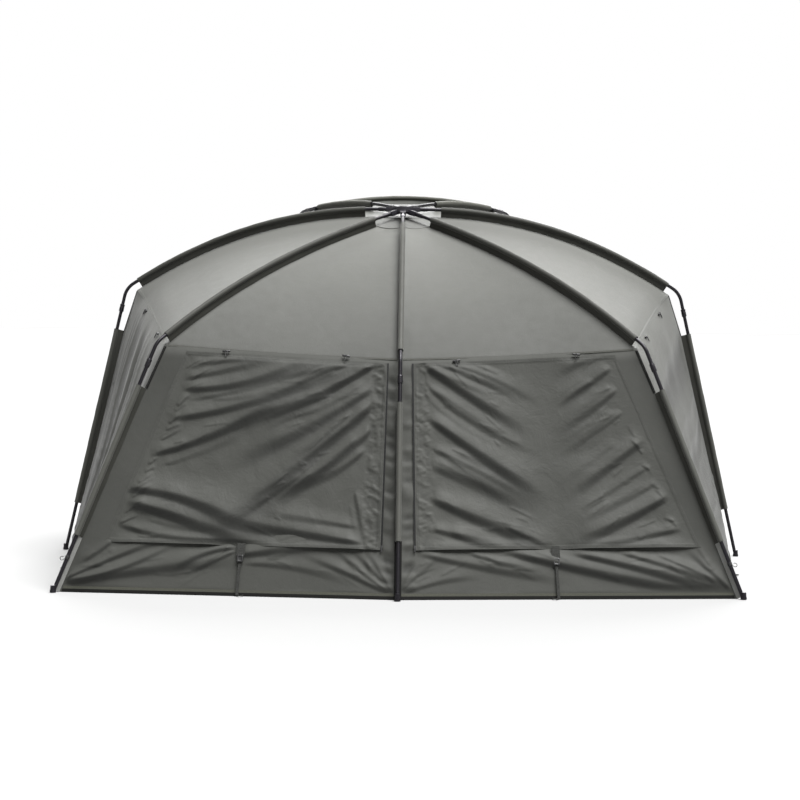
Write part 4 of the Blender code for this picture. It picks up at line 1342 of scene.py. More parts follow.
def side_wall_shape(panel, seed, across, down):
    def shape(u, t):
        base, normal = wall_cloth(panel, u, t)
        to_pole = np.minimum(u, 1 - u)
        hang = smooth_step(t, 0.0, 0.2) * (1 - smooth_step(t, 0.82, 1.0)) * smooth_step(to_pole, 0.0, 0.06)
        drift = 0.45 * mottle(u * 4, t * 3, seed)
        fold = folds((u * across + t * down) / SIDE_FOLD_STEP + drift, seed + 1, 0.35)
        height = 0.024 * (fold - 0.5) * hang
        # Painted shade in the hollows of the folds, and darker towards the ground.
        hollow = smooth_step(0.55 - fold, 0.0, 0.5) * hang * 0.85
        shade = np.clip(hollow + 0.30 * smooth_step(t, 0.45, 0.9), 0.0, 1.0)
        corners = rays(u * 1.3, (1 - t) * 1.2, (0.0, 0.0), 0.10, seed + 2, 0.2, 0.7)
        corners = corners + rays((1 - u) * 1.3, (1 - t) * 1.2, (0.0, 0.0), 0.10, seed + 3, 0.2, 0.7)
        height = height + 0.010 * corners * smooth_step(to_pole, 0.0, 0.02)
        height = height + 0.003 * mottle(u * 8, t * 8, seed + 4) * smooth_step(to_pole, 0.0, 0.03)
        height = height * smooth_step(1 - t, 0.018, 0.05)
        # Painted light: paler at the seam and darker towards the ground.
        tone = SEAM_TONE - 0.30 * smooth_step(t, 0.02, 0.35) - 0.18 * smooth_step(t, 0.25, 0.8)
        return base + normal * height[:, None], {"tone": tone, "shade": shade}
    return shape


def make_side_walls():
    for number, (name, (across, down)) in enumerate(SIDE_FOLD_RUNS.items()):
        shape = side_wall_shape(PANEL[name], 500 + 20 * number, across, down)
        wall = cloth_sheet(name + "_wall_cloth", SIDE_COLUMNS, SIDE_ROWS, shape, (1.3, 1.4))
        finish_piece(wall, WALL_CLOTH, [name + "_wall"])
        wall_trim(PANEL[name])
        print(wall.name, len(wall.data.polygons), "faces")


make_side_walls()

# %% [markdown]
# ## The sleeves
# A sleeve is one strip of cloth folded in two: it goes round the pole and its two edges are sewn to the
# canopy below, so it reads as a round casing on a thin dark web. The casing is paler and the web darker,
# partly their own colours and partly painted light and shade. A grid is rolled to that section and
# carried along the pole. It stays open at both ends, because the pole slides in there.

# %% Sleeves
CASING = 0.0112
WEB_HALF = 0.0016
SLEEVE_COLUMNS = 110


def sleeve_section(v, drop):
    """Across and outward offsets round a sleeve's section, and how far up the casing a point is."""
    opening = math.asin(WEB_HALF / CASING)
    web = drop - CASING * math.cos(opening)
    ring = CASING * (2 * math.pi - 2 * opening)
    run = v * (2 * web + ring)
    angle = -math.pi / 2 + opening + (run - web) / CASING
    across = np.where(run < web, WEB_HALF, np.where(run > web + ring, -WEB_HALF, CASING * np.cos(angle)))
    back = web + ring - run - CASING * math.cos(opening)
    outward = np.where(run < web, run - drop, np.where(run > web + ring, back, CASING * np.sin(angle)))
    return across, outward, smooth_step(outward, -CASING * 1.25, -CASING * 0.8)


def sleeve_shape(line, seed, length):
    """line(u) gives the pole's points, and the outward, sideways and drop of the sleeve there."""
    def shape(u, v):
        points, out, side, drop = line(u)
        across, outward, casing = sleeve_section(v, drop)
        low = 1 - casing
        across = across + 0.0011 * wave(u * length / 0.055, seed) * low * smooth_step(-outward, 0.011, 0.03)
        swelling = 1 + 0.05 * wave(u * length / 0.04, seed + 1) * casing
        outward = outward * np.where(casing > 0.5, swelling, 1.0)
        # The casing takes the pale end and the web the dark end, partly painted light and shade.
        return points + side * (across * swelling)[:, None] + out * outward[:, None], {"tone": casing}
    return shape


def roof_line(rib):
    def line(u):
        share = rib.sleeve_first + (rib.sleeve_last - rib.sleeve_first) * u
        out = square_to(rib.roof_direction(share))
        outward = out[:, :1] * rib.out + out[:, 1:] * UP
        return rib.place(rib.roof_point(share)), outward, rib.side, np.full(len(u), CANOPY_DROP - 0.0004)
    return line


def leg_line(rib):
    def line(u):
        top = CHAMFER_BELOW_BEND + 0.002
        length = top + (rib.leg_length - SLEEVE_ABOVE_GROUND / abs(rib.down[1]) - top) * u
        share = (length - CHAMFER_BELOW_BEND) / (rib.leg_length - CHAMFER_BELOW_BEND)
        out = square_to(rib.down)
        outward = np.broadcast_to(out[0] * rib.out + out[1] * UP, (len(u), 3))
        drop = CANOPY_DROP + (CORNER_DROP - CANOPY_DROP) * share - 0.0004
        return rib.place(rib.leg_point(length)), outward, rib.side, drop
    return line


def make_sleeve(name, line, seed, length, node, columns=SLEEVE_COLUMNS, material=SLEEVE_CLOTH):
    sleeve = cloth_sheet(name, columns, 28, sleeve_shape(line, seed, length), (length, 0.12), 0.0011)
    finish_piece(sleeve, material, [node])
    return sleeve


def make_sleeves():
    # Painted light: shaded and lit copies of the sleeve cloth, by pole.
    own_cloth = {"rear_middle": SLEEVE_CLOTH, "front_left": LIT_FRONT_SLEEVE_CLOTH,
                 "front_right": LIT_FRONT_SLEEVE_CLOTH}
    for number, rib in enumerate(RIBS.values()):
        on_pole = rib.roof_point(np.linspace(rib.sleeve_first, rib.sleeve_last, 40))
        roof_length = float(np.linalg.norm(np.diff(on_pole, axis=0), axis=1).sum())
        leg_length = rib.leg_length - SLEEVE_ABOVE_GROUND / abs(rib.down[1]) - CHAMFER_BELOW_BEND
        make_sleeve(rib.name + "_roof_casing", roof_line(rib), 700 + number * 4, roof_length,
                    rib.name + "_roof_sleeve",
                    material=own_cloth.get(rib.name, SHADED_SLEEVE_CLOTH))
        make_sleeve(rib.name + "_leg_casing", leg_line(rib), 760 + number * 4, leg_length,
                    rib.name + "_leg_sleeve")
    print(2 * len(RIBS), "sleeves on the poles")


make_sleeves()

# %% [markdown]
# ## The window meshes
# Behind each storm cover a fine black insect mesh fills the window. From outside it never shows, but
# through the door it does, with the cover's light behind it. The holes are far too small to model, so the
# material cuts them.

# %% Window meshes
def net_material(name, colour, step=0.0026):
    """Fine net: square holes cut out of the sheet through its alpha, in the cloth's own coordinates."""
    recipe = Recipe(name, Roughness=0.8)
    coordinates = recipe.where("UV")
    wide = (recipe.axis(coordinates, "X") / step).part()
    long = (recipe.axis(coordinates, "Y") / step).part()
    solid = recipe.math("MAXIMUM", wide.below(0.42), long.below(0.42))
    recipe.feed(recipe.shader.inputs["Alpha"], solid)
    recipe.colour(recipe.mix(colour, tuple(1.6 * c for c in colour), recipe.noise(recipe.where(), 9.0)))
    return recipe.material


INSECT_NET = net_material("insect_net", (0.020, 0.020, 0.020))
NET_DEPTH = 0.0035
NET_LAP = 0.012


def make_window_nets():
    for name in ("rear_left", "rear_right"):
        def shape(u, v):
            a = WINDOW_SIDES[0] - NET_LAP + (WINDOW_SIDES[1] - WINDOW_SIDES[0] + 2 * NET_LAP) * u
            b = WINDOW_T[0] - NET_LAP + (WINDOW_T[1] - WINDOW_T[0] + 2 * NET_LAP) * v
            base, normal = wall_cloth(PANEL[name], a, b)
            dip = 0.004 * np.sin(math.pi * u) * np.sin(math.pi * v)
            return base - normal * (NET_DEPTH + dip)[:, None], {}
        net = cloth_sheet(name + "_insect_net", 24, 20, shape, (0.58, 0.47), thickness=0.0006)
        finish_piece(net, INSECT_NET, [name + "_window_mesh"])


make_window_nets()
print("window nets hung")

# %% [markdown]
# ## The front
# The front panel swells over the brow pole into a peak. Below it the wall is cut away for the door: two
# jambs stand beside the opening and a head joins them above it. The real wall is one cloth, so the grid
# spans it whole and the doorway is deleted from it, as the windows were.

# %% Front wall
SEAM_HEIGHT = float(RIBS["front_left"].wall_corners()[0][1])
KNEE_HEIGHT = float(RIBS["front_left"].wall_corners()[1][1])
DOOR_T = KNEE_SHARE + (1 - KNEE_SHARE) * (1 - DOOR_TOP / KNEE_HEIGHT)
if DOOR_TOP > KNEE_HEIGHT:
    DOOR_T = KNEE_SHARE * (SEAM_HEIGHT - DOOR_TOP) / (SEAM_HEIGHT - KNEE_HEIGHT)


def front_wall_shape(u, t):
    base, normal = wall_cloth(PANEL["front"], u, t)
    beside_rib = smooth_step(np.minimum(u, 1 - u), 0.0, 0.05)
    beside_door = smooth_step(np.abs(np.abs(u - 0.5) - (0.5 - DOOR_SHARE)), 0.0, 0.03)
    hang = smooth_step(t, 0.02, 0.2) * (1 - smooth_step(t, 0.9, 1.0))
    drape = folds(u * 1.2 / 0.06 + 0.4 * mottle(u * 6, t * 4, 601), 600, 0.3) - 0.5
    height = 0.010 * drape * beside_rib * beside_door * hang
    dimple = 0.0025 * mottle(u * 10, t * 12, 603) * beside_rib * beside_door
    height = height + dimple * smooth_step(1 - t, 0.018, 0.05)
    # Painted light: paler at the top and darker towards the ground.
    return base + normal * height[:, None], {"tone": 0.45 - 0.38 * smooth_step(t, 0.0, 0.35)}


def doorway(u, t):
    return DOOR_SHARE < u < 1 - DOOR_SHARE and t > DOOR_T


def make_door_trim():
    """The jambs' hems and zips, and the binding along the head."""
    panel = PANEL["front"]
    pieces = make_hem(panel, 0.006, DOOR_SHARE, "front_left_jamb") + make_piping(panel)
    pieces += make_hem(panel, 1 - DOOR_SHARE, 0.994, "front_right_jamb")
    for name, share, beside in (("left", DOOR_SHARE, -0.006), ("right", 1 - DOOR_SHARE, 0.006)):
        def down_at(place):
            return lambda u: (place + 0.0 * u, DOOR_T + (0.994 - DOOR_T) * u)
        chain = tape(f"front_{name}_door_zip", wall_cloth, panel, down_at(share + beside), width=0.0060,
                     lift=0.0030, length=1.4, thickness=0.0055, columns=160)
        edge = tape(f"front_{name}_door_binding", wall_cloth, panel, down_at(share), width=0.0110,
                    lift=0.0012, length=1.4, thickness=0.0040, columns=160)
        pieces += [finish_piece(chain, ZIP_CHAIN), finish_piece(edge, SEAM_TAPE)]

    def across(u):
        return DOOR_SHARE + (1 - 2 * DOOR_SHARE) * u, DOOR_T + 0.0 * u
    head = tape("front_door_head_binding", wall_cloth, panel, across, width=0.0200, lift=0.0012, length=0.9,
                thickness=0.0040, columns=80)
    return pieces + [finish_piece(head, SEAM_TAPE)]


def make_front_wall():
    wall = cloth_sheet("front_wall_cloth", 120, 130, front_wall_shape, (1.25, 1.6), holes=doorway)
    finish_piece(wall, WALL_CLOTH, ["front_wall_left", "front_wall_right", "front_wall_head"])
    make_door_trim()
    print(wall.name, len(wall.data.polygons), "faces; the door starts at share", round(DOOR_T, 3))


make_front_wall()

# %% [markdown]
# ## The rolled-up door
# In use the door is unzipped, rolled up and tied under the peak. A real roll is one long cloth wound
# round itself, so the grid is wound into a spiral: its columns run along the roll and its rows wind round
# it. It bulges between its ties and its outer edge shows, which a plain cylinder never shows.

# %% Rolled door
ROLL_RADIUS = 0.040
ROLL_LAP = 0.012
ROLL_CORE = 0.010
ROLL_TURNS = 8.0
TIE_SHARES = (0.14, 0.5, 0.86)
TIE_RADIUS = 0.0372
TIE_WIDTH = 0.024


def roll_axis(u):
    """Points of the roll's middle line, with the outward and downward directions there."""
    share = DOOR_SHARE + 0.045 + (1 - 2 * DOOR_SHARE - 0.09) * u
    def head(t, shift=0.0):
        return wall_span(RIBS["front_left"], RIBS["front_right"], share + shift, np.full(len(u), t), True)
    edge = head(DOOR_T)
    down = edge - head(DOOR_T - 0.08)
    down /= np.linalg.norm(down, axis=-1, keepdims=True)
    along = head(DOOR_T, 0.01) - head(DOOR_T, -0.01)
    along /= np.linalg.norm(along, axis=-1, keepdims=True)
    out = np.cross(along, down)
    out *= np.sign(out[:, 1:2])
    return edge - down * ROLL_LAP + out * (ROLL_RADIUS + 0.002), out, down


def round_roll(frame_of_roll, angle, radius):
    """Points round the roll, which is a little flattened."""
    middle, out, down = frame_of_roll
    flat = 1 + 0.07 * np.cos(2 * angle)
    return (middle + out * (np.cos(angle) * radius * flat)[:, None]
            + down * (np.sin(angle) * radius / flat)[:, None])


def roll_shape(u, v):
    tied = np.min([np.abs(u - share) for share in TIE_SHARES], axis=0)
    slack = 1 - 0.10 * np.exp(-(tied / 0.035) ** 2) + 0.035 * mottle(u * 9, v * 30, 620)
    radius = (ROLL_CORE + (ROLL_RADIUS - 0.0035 - ROLL_CORE) * v) * slack
    return round_roll(roll_axis(u), 2 * math.pi * ROLL_TURNS * v + 1.2, radius), {"tone": 0.1}


def make_roll_ties():
    """Bands round the roll, each pulled tight."""
    ties = []
    for number, share in enumerate(TIE_SHARES):
        def ring(u, v):
            middle, out, down = roll_axis(np.full(len(u), share))
            angle = 2 * math.pi * u
            around = round_roll((middle, out, down), angle, TIE_RADIUS + 0.0006 * np.cos(3 * angle))
            return around + np.cross(out, down) * ((v - 0.5) * TIE_WIDTH)[:, None], {}
        band = cloth_sheet(f"roll_tie_{number + 1}", 48, 4, ring, (0.24, TIE_WIDTH), 0.0014, merge=True)
        ties.append(finish_piece(band, WEBBING))
    return ties


def make_roll():
    roll = cloth_sheet("rolled_door_cloth", 70, 190, roll_shape, (0.85, 1.25), thickness=0.0012)
    finish_piece(roll, WALL_CLOTH, ["rolled_front_door"])
    make_roll_ties()


make_roll()
print("door rolled up in", ROLL_TURNS, "turns")

# %% [markdown]
# ## The poles
# Each pole is thin dark anodised tube. A curve with a round bevel gives its length and its bend, and
# turning the curve into a mesh gives clean smooth faces. At each joint one tube slides into a collar, and
# where a pole plugs into the hub it ends in a ferrule. The rear middle pole's ferrule alone is given a
# bright bare metal, a painted highlight where it catches the light, and shows as a small bright piece.

# %% Tubes and turned fittings
def tube(name, points, radius, sides=4):
    """A round bar along points, as a mesh with its place in its points."""
    deselect_all()
    curve = bpy.data.curves.new(name, "CURVE")
    curve.dimensions = "3D"
    curve.bevel_depth = radius
    curve.bevel_resolution = sides
    curve.use_fill_caps = True
    spline = curve.splines.new("POLY")
    spline.points.add(len(points) - 1)
    for target, point in zip(spline.points, points):
        target.co = (*point, 1.0)
    bar = bpy.data.objects.new(name, curve)
    bpy.context.scene.collection.objects.link(bar)
    only(bar)
    bpy.ops.object.convert(target="MESH")
    bpy.ops.object.mode_set(mode="EDIT")
    bpy.ops.mesh.select_all(action="SELECT")
    bpy.ops.mesh.remove_doubles(threshold=0.00001)
    bpy.ops.mesh.normals_make_consistent(inside=False)
    bpy.ops.object.mode_set(mode="OBJECT")
    bpy.ops.object.shade_smooth_by_angle(angle=math.radians(40))
    bar.data.name = name
    return bar


def turned(name, start, end, profile, sides=24):
    """A round fitting between two points: a cylinder whose ends are extruded and scaled to a profile."""
    start, end = Vector(start), Vector(end)
    axis = (end - start).normalized()
    turn = Vector((0.0, 0.0, 1.0)).rotation_difference(axis)
    deselect_all()
    first, second = profile[0], profile[1]
    bpy.ops.mesh.primitive_cone_add(vertices=sides, radius1=first[1], radius2=second[1], end_fill_type="NGON",
                                    depth=second[0] - first[0], location=(0, 0, (first[0] + second[0]) / 2))
    piece = bpy.context.active_object
    piece.name = piece.data.name = name
    bpy.ops.object.transform_apply(location=True, rotation=True, scale=True)
    reached = second
    for height, radius in profile[2:]:
        select_where(piece, "FACE", lambda centre: centre.z > reached[0] - 0.00001)
        bpy.ops.mesh.extrude_region_move(TRANSFORM_OT_translate={"value": (0, 0, height - reached[0])})
        scale = radius / reached[1]
        bpy.ops.transform.resize(value=(scale, scale, 1.0))
        bpy.ops.object.mode_set(mode="OBJECT")
        reached = (height, radius)
    piece.matrix_world = Matrix.Translation(start) @ turn.to_matrix().to_4x4()
    only(piece)
    bpy.ops.object.transform_apply(location=True, rotation=True, scale=True)
    bpy.ops.object.shade_smooth_by_angle(angle=math.radians(35))
    return piece


print("a tube has the radius", POLE_RADIUS * 1000, "mm")

# %% Roof poles
def make_roof_poles():
    for rib in RIBS.values():
        shares = np.linspace(0.0, 1.0, 46)
        flat = np.concatenate([rib.roof_point(shares), rib.bend_points(14),
                               rib.leg_point([COLLAR_BELOW_BEND - 0.0004])])
        pole = tube(rib.name + "_roof_tube", rib.place(flat), POLE_RADIUS)
        finish_piece(pole, POLE_METAL, [rib.name + "_roof_pole"])
        start, end = rib.place(rib.roof_point(np.array([0.0, rib.share_at(0.118)])))
        start = start - (end - start) * 0.2
        length = float(np.linalg.norm(end - start))
        profile = [(0.0, 0.0094), (0.003, 0.0100), (length - 0.006, 0.0100), (length - 0.003, 0.0094),
                   (length, 0.0085)]
        ferrule = turned(rib.name + "_ferrule", start, end, profile)
        # Painted highlight on the rear middle ferrule only; the others stay dark.
        finish_piece(ferrule, HIGHLIT_FERRULE_METAL if rib.name == "rear_middle" else POLE_METAL)


make_roof_poles()
print(len(RIBS), "roof poles, each bent at the shoulder")

# %% [markdown]
# ## Legs and feet
# A leg is a straight tube. Its head is a collar that the roof pole plugs into, with a groove and a small
# spring button, and its foot is a slim moulded boot.

# %% Legs
def make_legs():
    for rib in RIBS.values():
        head, collar_end = rib.place(rib.leg_point([COLLAR_BELOW_BEND, COLLAR_BELOW_BEND + 0.036]))
        foot = rib.place(np.array([rib.foot_out, 0.0]))
        above_foot = rib.place(rib.leg_point(rib.leg_length - 0.010))
        shank = tube(rib.name + "_leg_tube", [head, above_foot], POLE_RADIUS)
        collar = turned(rib.name + "_leg_collar", head, collar_end,
                        [(0.0, 0.0104), (0.0015, 0.0112), (0.009, 0.0112), (0.010, 0.0104), (0.012, 0.0104),
                         (0.013, 0.0112), (0.0345, 0.0112), (0.036, 0.0098)])
        side = rib.side * 0.0100
        button_at = head + (collar_end - head) * 0.68
        button = turned(rib.name + "_leg_button", button_at + side, button_at + side * 1.32,
                        [(0.0, 0.0030), (0.0022, 0.0030), (0.0030, 0.0020)], 14)
        boot = turned(rib.name + "_leg_boot", foot, foot + UP * 0.04,
                      [(0.0, 0.0118), (0.0015, 0.0132), (0.007, 0.0132), (0.0090, 0.0124), (0.014, 0.0112),
                       (0.026, 0.0106), (0.030, 0.0100)], 28)
        only(shank)
        for other in (collar, button, boot):
            other.select_set(True)
        bpy.ops.object.join()
        leg = finish_piece(shank, POLE_METAL, [rib.name + "_leg"])
        leg.name = rib.name + "_leg_with_boot"


make_legs()
print("legs, collars and boots stand on the ground")

# %% [markdown]
# ## The hub
# Seven poles meet in one moulded block: a thick disc with a socket for each pole, pinned crosswise, and a
# low cap on top. The disc is a cylinder whose top is inset and sunk, one socket is a cube that is
# bevelled, and whose mouth is inset and pushed in, and the other six are copies turned to the other
# poles.

# %% Hub disc and socket
HUB_THICKNESS = 0.026
SOCKET_FROM = 0.020
SOCKET_WIDE = 0.0255
SOCKET_TALL = 0.0230


def make_hub_disc():
    deselect_all()
    bpy.ops.mesh.primitive_cylinder_add(vertices=48, radius=HUB_RADIUS, depth=HUB_THICKNESS,
                                        location=(0, HUB_Y, HUB_HEIGHT))
    disc = bpy.context.active_object
    bpy.ops.object.transform_apply(location=True, rotation=True, scale=True)
    top = HUB_HEIGHT + HUB_THICKNESS / 2
    select_where(disc, "FACE", lambda centre: centre.z > top - 0.0001)
    bpy.ops.mesh.inset(thickness=0.006)
    bpy.ops.mesh.extrude_region_move(TRANSFORM_OT_translate={"value": (0, 0, -0.0022)})
    bpy.ops.mesh.inset(thickness=0.010)
    bpy.ops.mesh.extrude_region_move(TRANSFORM_OT_translate={"value": (0, 0, 0.0030)})
    bpy.ops.object.mode_set(mode="OBJECT")
    apply_modifier(disc, "BEVEL", width=0.0014, segments=3, limit_method="ANGLE",
                   angle_limit=math.radians(40))
    return disc


def make_socket():
    """One socket along X from the hub's middle, with its cross pin."""
    end = SOCKET_END - 0.0006
    deselect_all()
    bpy.ops.mesh.primitive_cube_add(size=1.0, location=((SOCKET_FROM + end) / 2, 0, 0),
                                    scale=(end - SOCKET_FROM, SOCKET_WIDE, SOCKET_TALL))
    socket = bpy.context.active_object
    socket.name = "socket_pattern"
    bpy.ops.object.transform_apply(location=True, rotation=True, scale=True)
    select_where(socket, "FACE", lambda centre: centre.x > end - 0.0001)
    bpy.ops.mesh.inset(thickness=0.0030)
    bpy.ops.mesh.extrude_region_move(TRANSFORM_OT_translate={"value": (-0.006, 0, 0)})
    bpy.ops.object.mode_set(mode="OBJECT")
    apply_modifier(socket, "BEVEL", width=0.0026, segments=3, limit_method="ANGLE",
                   angle_limit=math.radians(40))
    pin = turned("socket_pin", (0.060, -0.0146, 0), (0.060, 0.0146, 0),
                 [(0.0, 0.0016), (0.0006, 0.0030), (0.0020, 0.0030), (0.0022, 0.0020), (0.0270, 0.0020),
                  (0.0272, 0.0030), (0.0286, 0.0030), (0.0292, 0.0016)], 18)
    only(socket)
    pin.select_set(True)
    bpy.ops.object.join()
    return socket


print("each socket reaches", SOCKET_END, "m from the hub's middle")

# %% Hub
def make_hub():
    parts = [make_hub_disc()]
    pattern = make_socket()
    for rib in RIBS.values():
        slope = rib.roof_direction(0.0)
        along = rib.out * slope[0] + UP * slope[1]
        parts.append(placed_copy(pattern, rib.name + "_socket", HUB_AXIS + UP * HUB_HEIGHT, along, UP))
    bpy.data.objects.remove(pattern)
    top = HUB_AXIS + UP * (HUB_HEIGHT + HUB_THICKNESS / 2)
    parts.append(turned("hub_cap", top, top + UP * 0.005,
                        [(-0.002, 0.0235), (0.0015, 0.0235), (0.0034, 0.0215), (0.0046, 0.0165),
                         (0.0050, 0.0090), (0.0036, 0.0080), (0.0034, 0.0040)], 40))
    only(parts[0])
    for part in parts[1:]:
        part.select_set(True)
    bpy.ops.object.join()
    hub = parts[0]
    hub.name = hub.data.name = "hub_with_sockets"
    bpy.ops.object.shade_smooth_by_angle(angle=math.radians(35))
    finish_piece(hub, HUB_PLASTIC, ["hub"])
    print(hub.name, len(hub.data.polygons), "faces")


make_hub()

# %% [markdown]
# ## The brow pole
# Over the door a low arched pole lifts the canopy's edge into a peak, so that rain drips clear of the
# doorway. It runs in its own sleeve, and a fitting at each end holds it to the bend of a front pole.

# %% Brow
BROW_ENDS = (1 / 16, 15 / 16)
BROW_SLEEVE_ENDS = (2 / 16, 14 / 16)
BROW_LEAN = 0.35


def brow_points(u):
    """Points of the brow pole, and the outward and sideways directions there."""
    def edge(share):
        return roof_span(RIBS["front_left"], RIBS["front_right"], share, np.ones_like(share), True)
    along = edge(u + 0.01) - edge(u - 0.01)
    along /= np.linalg.norm(along, axis=-1, keepdims=True)
    lean = np.array([0.0, BROW_LEAN, 1.0])
    out = lean - along * (along @ lean)[:, None]
    out /= np.linalg.norm(out, axis=-1, keepdims=True)
    return edge(u) + out * CANOPY_DROP, out, np.cross(out, along)


def brow_sleeve_line(u):
    points, out, side = brow_points(BROW_SLEEVE_ENDS[0] + (BROW_SLEEVE_ENDS[1] - BROW_SLEEVE_ENDS[0]) * u)
    return points, out, side, np.full(len(u), CANOPY_DROP - 0.0004)


def make_brow():
    points = brow_points(np.linspace(*BROW_ENDS, 48))[0]
    bar = tube("brow_tube", points, POLE_RADIUS)
    fittings = []
    for name, end, beside in (("front_left", points[0], points[3]), ("front_right", points[-1], points[-4])):
        root = RIBS[name].place(RIBS[name].roof_point(1.0))
        start = end + (beside - end) * 0.25
        reach = float(np.linalg.norm(root - start)) - POLE_RADIUS - 0.0012
        profile = [(0.0, 0.0098), (0.002, 0.0112), (reach * 0.35, 0.0112), (reach * 0.38, 0.0098),
                   (reach * 0.62, 0.0098), (reach * 0.65, 0.0116), (reach - 0.003, 0.0116), (reach, 0.0100)]
        fittings.append(turned(name + "_brow_fitting", start, root, profile, 20))
    only(bar)
    for fitting in fittings:
        fitting.select_set(True)
    bpy.ops.object.join()
    finish_piece(bar, POLE_METAL, ["brow_pole"])
    bar.name = "brow_pole_with_fittings"
    make_sleeve("brow_casing", brow_sleeve_line, 820, 0.82, "brow_sleeve", 80, BROW_CLOTH)


make_brow()
print("brow pole and its sleeve are over the door")

# %% [markdown]
# ## Straps, clips and toggles
# Each storm cover is pulled down by one strap: a tab sewn to its hem, a moulded clip, and webbing that
# runs down to the wall's foot. Along the top, small barrel toggles on elastic loops hold the cover when
# it is rolled up. A toggle is a cylinder with its waist scaled in; it is modelled once and copied to each
# place.

# %% Straps
STRAP_TOP = (0.648, 0.196)
STRAP_FOOT = (0.660, 0.002)


def nearest_shares(panel, x, z):
    """The shares of a wall's point that is seen at x and z from behind."""
    u, t = np.meshgrid(np.linspace(0.01, 0.99, 197), np.linspace(0.0, 1.0, 201))
    points = wall_cloth(panel, u.ravel(), t.ravel())[0]
    found = int(np.argmin((points[:, 0] - x) ** 2 + (points[:, 2] - z) ** 2))
    return float(u.ravel()[found]), float(t.ravel()[found])


def make_clip():
    """A small side-release clip, 30 mm long, lying in XY with its length along X."""
    deselect_all()
    bpy.ops.mesh.primitive_cube_add(size=1.0, location=(0, 0, 0), scale=(0.030, 0.022, 0.0075))
    clip = bpy.context.active_object
    clip.name = "clip_pattern"
    bpy.ops.object.transform_apply(location=True, rotation=True, scale=True)
    bpy.ops.object.mode_set(mode="EDIT")
    bpy.ops.mesh.select_all(action="SELECT")
    bpy.ops.mesh.subdivide(number_cuts=4)
    select_where(clip, "FACE", lambda centre: abs(centre.y) > 0.0109 and abs(centre.x) < 0.008)
    bpy.ops.transform.resize(value=(1.0, 1.22, 1.0))
    select_where(clip, "FACE",
                 lambda centre: centre.z > 0.0037 and abs(centre.x) < 0.010 and abs(centre.y) < 0.007)
    bpy.ops.mesh.extrude_region_move(TRANSFORM_OT_translate={"value": (0, 0, -0.0022)})
    bpy.ops.object.mode_set(mode="OBJECT")
    apply_modifier(clip, "BEVEL", width=0.0012, segments=2, limit_method="ANGLE",
                   angle_limit=math.radians(40))
    bpy.ops.object.shade_smooth_by_angle(angle=math.radians(35))
    return clip


def make_straps():
    pattern = make_clip()
    for name, side in (("rear_left", -1), ("rear_right", 1)):
        panel = PANEL[name]
        u0, t0 = nearest_shares(panel, side * STRAP_TOP[0], STRAP_TOP[1])
        u1, t1 = nearest_shares(panel, side * STRAP_FOOT[0], STRAP_FOOT[1])
        def route(u):
            return u0 + (u1 - u0) * u, t0 + (t1 - t0) * u

        def tab_route(u):
            return route(u * 0.25 - 0.04)
        strap = tape(name + "_pull_strap", wall_cloth, panel, route, width=0.0115, lift=0.0130, length=0.2,
                     thickness=0.0018, columns=40, ripple=0.0006, seed=930 + side)
        finish_piece(strap, WEBBING, [name + "_strap"])
        tab = tape(name + "_strap_tab", wall_cloth, panel, tab_route, width=0.034, lift=0.0155, length=0.05,
                   thickness=0.0020, columns=10)
        finish_piece(tab, WEBBING)
        base, along, normal = surface_line(wall_cloth, panel, route, np.array([0.27]))
        clip = placed_copy(pattern, name + "_strap_clip", base[0] + normal[0] * 0.0150, along[0], normal[0])
        finish_piece(clip, CLIP_PLASTIC)
    bpy.data.objects.remove(pattern)


make_straps()
print("two pull-down straps with their clips")

# %% Toggles
# Each toggle on a cover: its wall, and its x and height as seen from behind.
COVER_TOGGLES = [("rear_left", -0.745, 0.991), ("rear_left", -0.230, 0.981), ("rear_right", 0.240, 0.962),
                 ("rear_right", 0.751, 0.993)]
SIDE_TOGGLE_SHARES = (0.28, 0.70)


def make_toggle_pattern():
    """A grooved barrel along X, and the elastic loop that holds it by the waist."""
    barrel = turned("toggle_pattern", (-0.017, 0, 0), (0.017, 0, 0),
                    [(0.0, 0.0022), (0.0012, 0.0040), (0.0040, 0.0050), (0.0135, 0.0052), (0.0150, 0.0036),
                     (0.0190, 0.0036), (0.0205, 0.0052), (0.0300, 0.0050), (0.0328, 0.0040),
                     (0.0340, 0.0022)], 20)
    angles = np.linspace(-math.pi * 0.5, math.pi * 1.5, 20)[:-1]
    loop = [(0.0045 * math.cos(a), 0.010 + 0.0135 * math.sin(a), 0.0045 + 0.0008 * math.sin(a))
            for a in angles]
    cord = tube("toggle_cord", loop + [loop[0]], 0.0015, 2)
    only(barrel)
    cord.select_set(True)
    bpy.ops.object.join()
    return barrel


def make_toggles():
    pattern = make_toggle_pattern()
    places = [(panel, *nearest_shares(PANEL[panel], x, z)) for panel, x, z in COVER_TOGGLES]
    places += [(panel, share, 0.014) for panel in ("side_left", "side_right") for share in SIDE_TOGGLE_SHARES]
    for number, (panel, u, t) in enumerate(places):
        lift = 0.0125 if number < len(COVER_TOGGLES) else 0.0065
        def route(w):
            return u + 0.03 * (w - 0.5), t + 0.0 * w
        base, along, normal = surface_line(wall_cloth, PANEL[panel], route, np.array([0.5]))
        tilt = along[0] + UP * (0.12 if number % 2 else -0.10)
        place = base[0] + normal[0] * lift
        toggle = placed_copy(pattern, f"{panel}_toggle_{number + 1}", place, tilt, normal[0])
        finish_piece(toggle, CLIP_PLASTIC)
    bpy.data.objects.remove(pattern)
    print(len(places), "toggles on their loops")


make_toggles()

# %% [markdown]
# ## The last fittings
# What is left is small: loops in the hems of six walls for the pegs, a slider on each zip, a wire hook on
# each outer rear pole, the clips that hold the canopy to the front poles, and the toggles on the rolled
# door's ties. All but the hooks are modelled once, and every copy is turned by two directions, the way it
# runs and the way it faces.

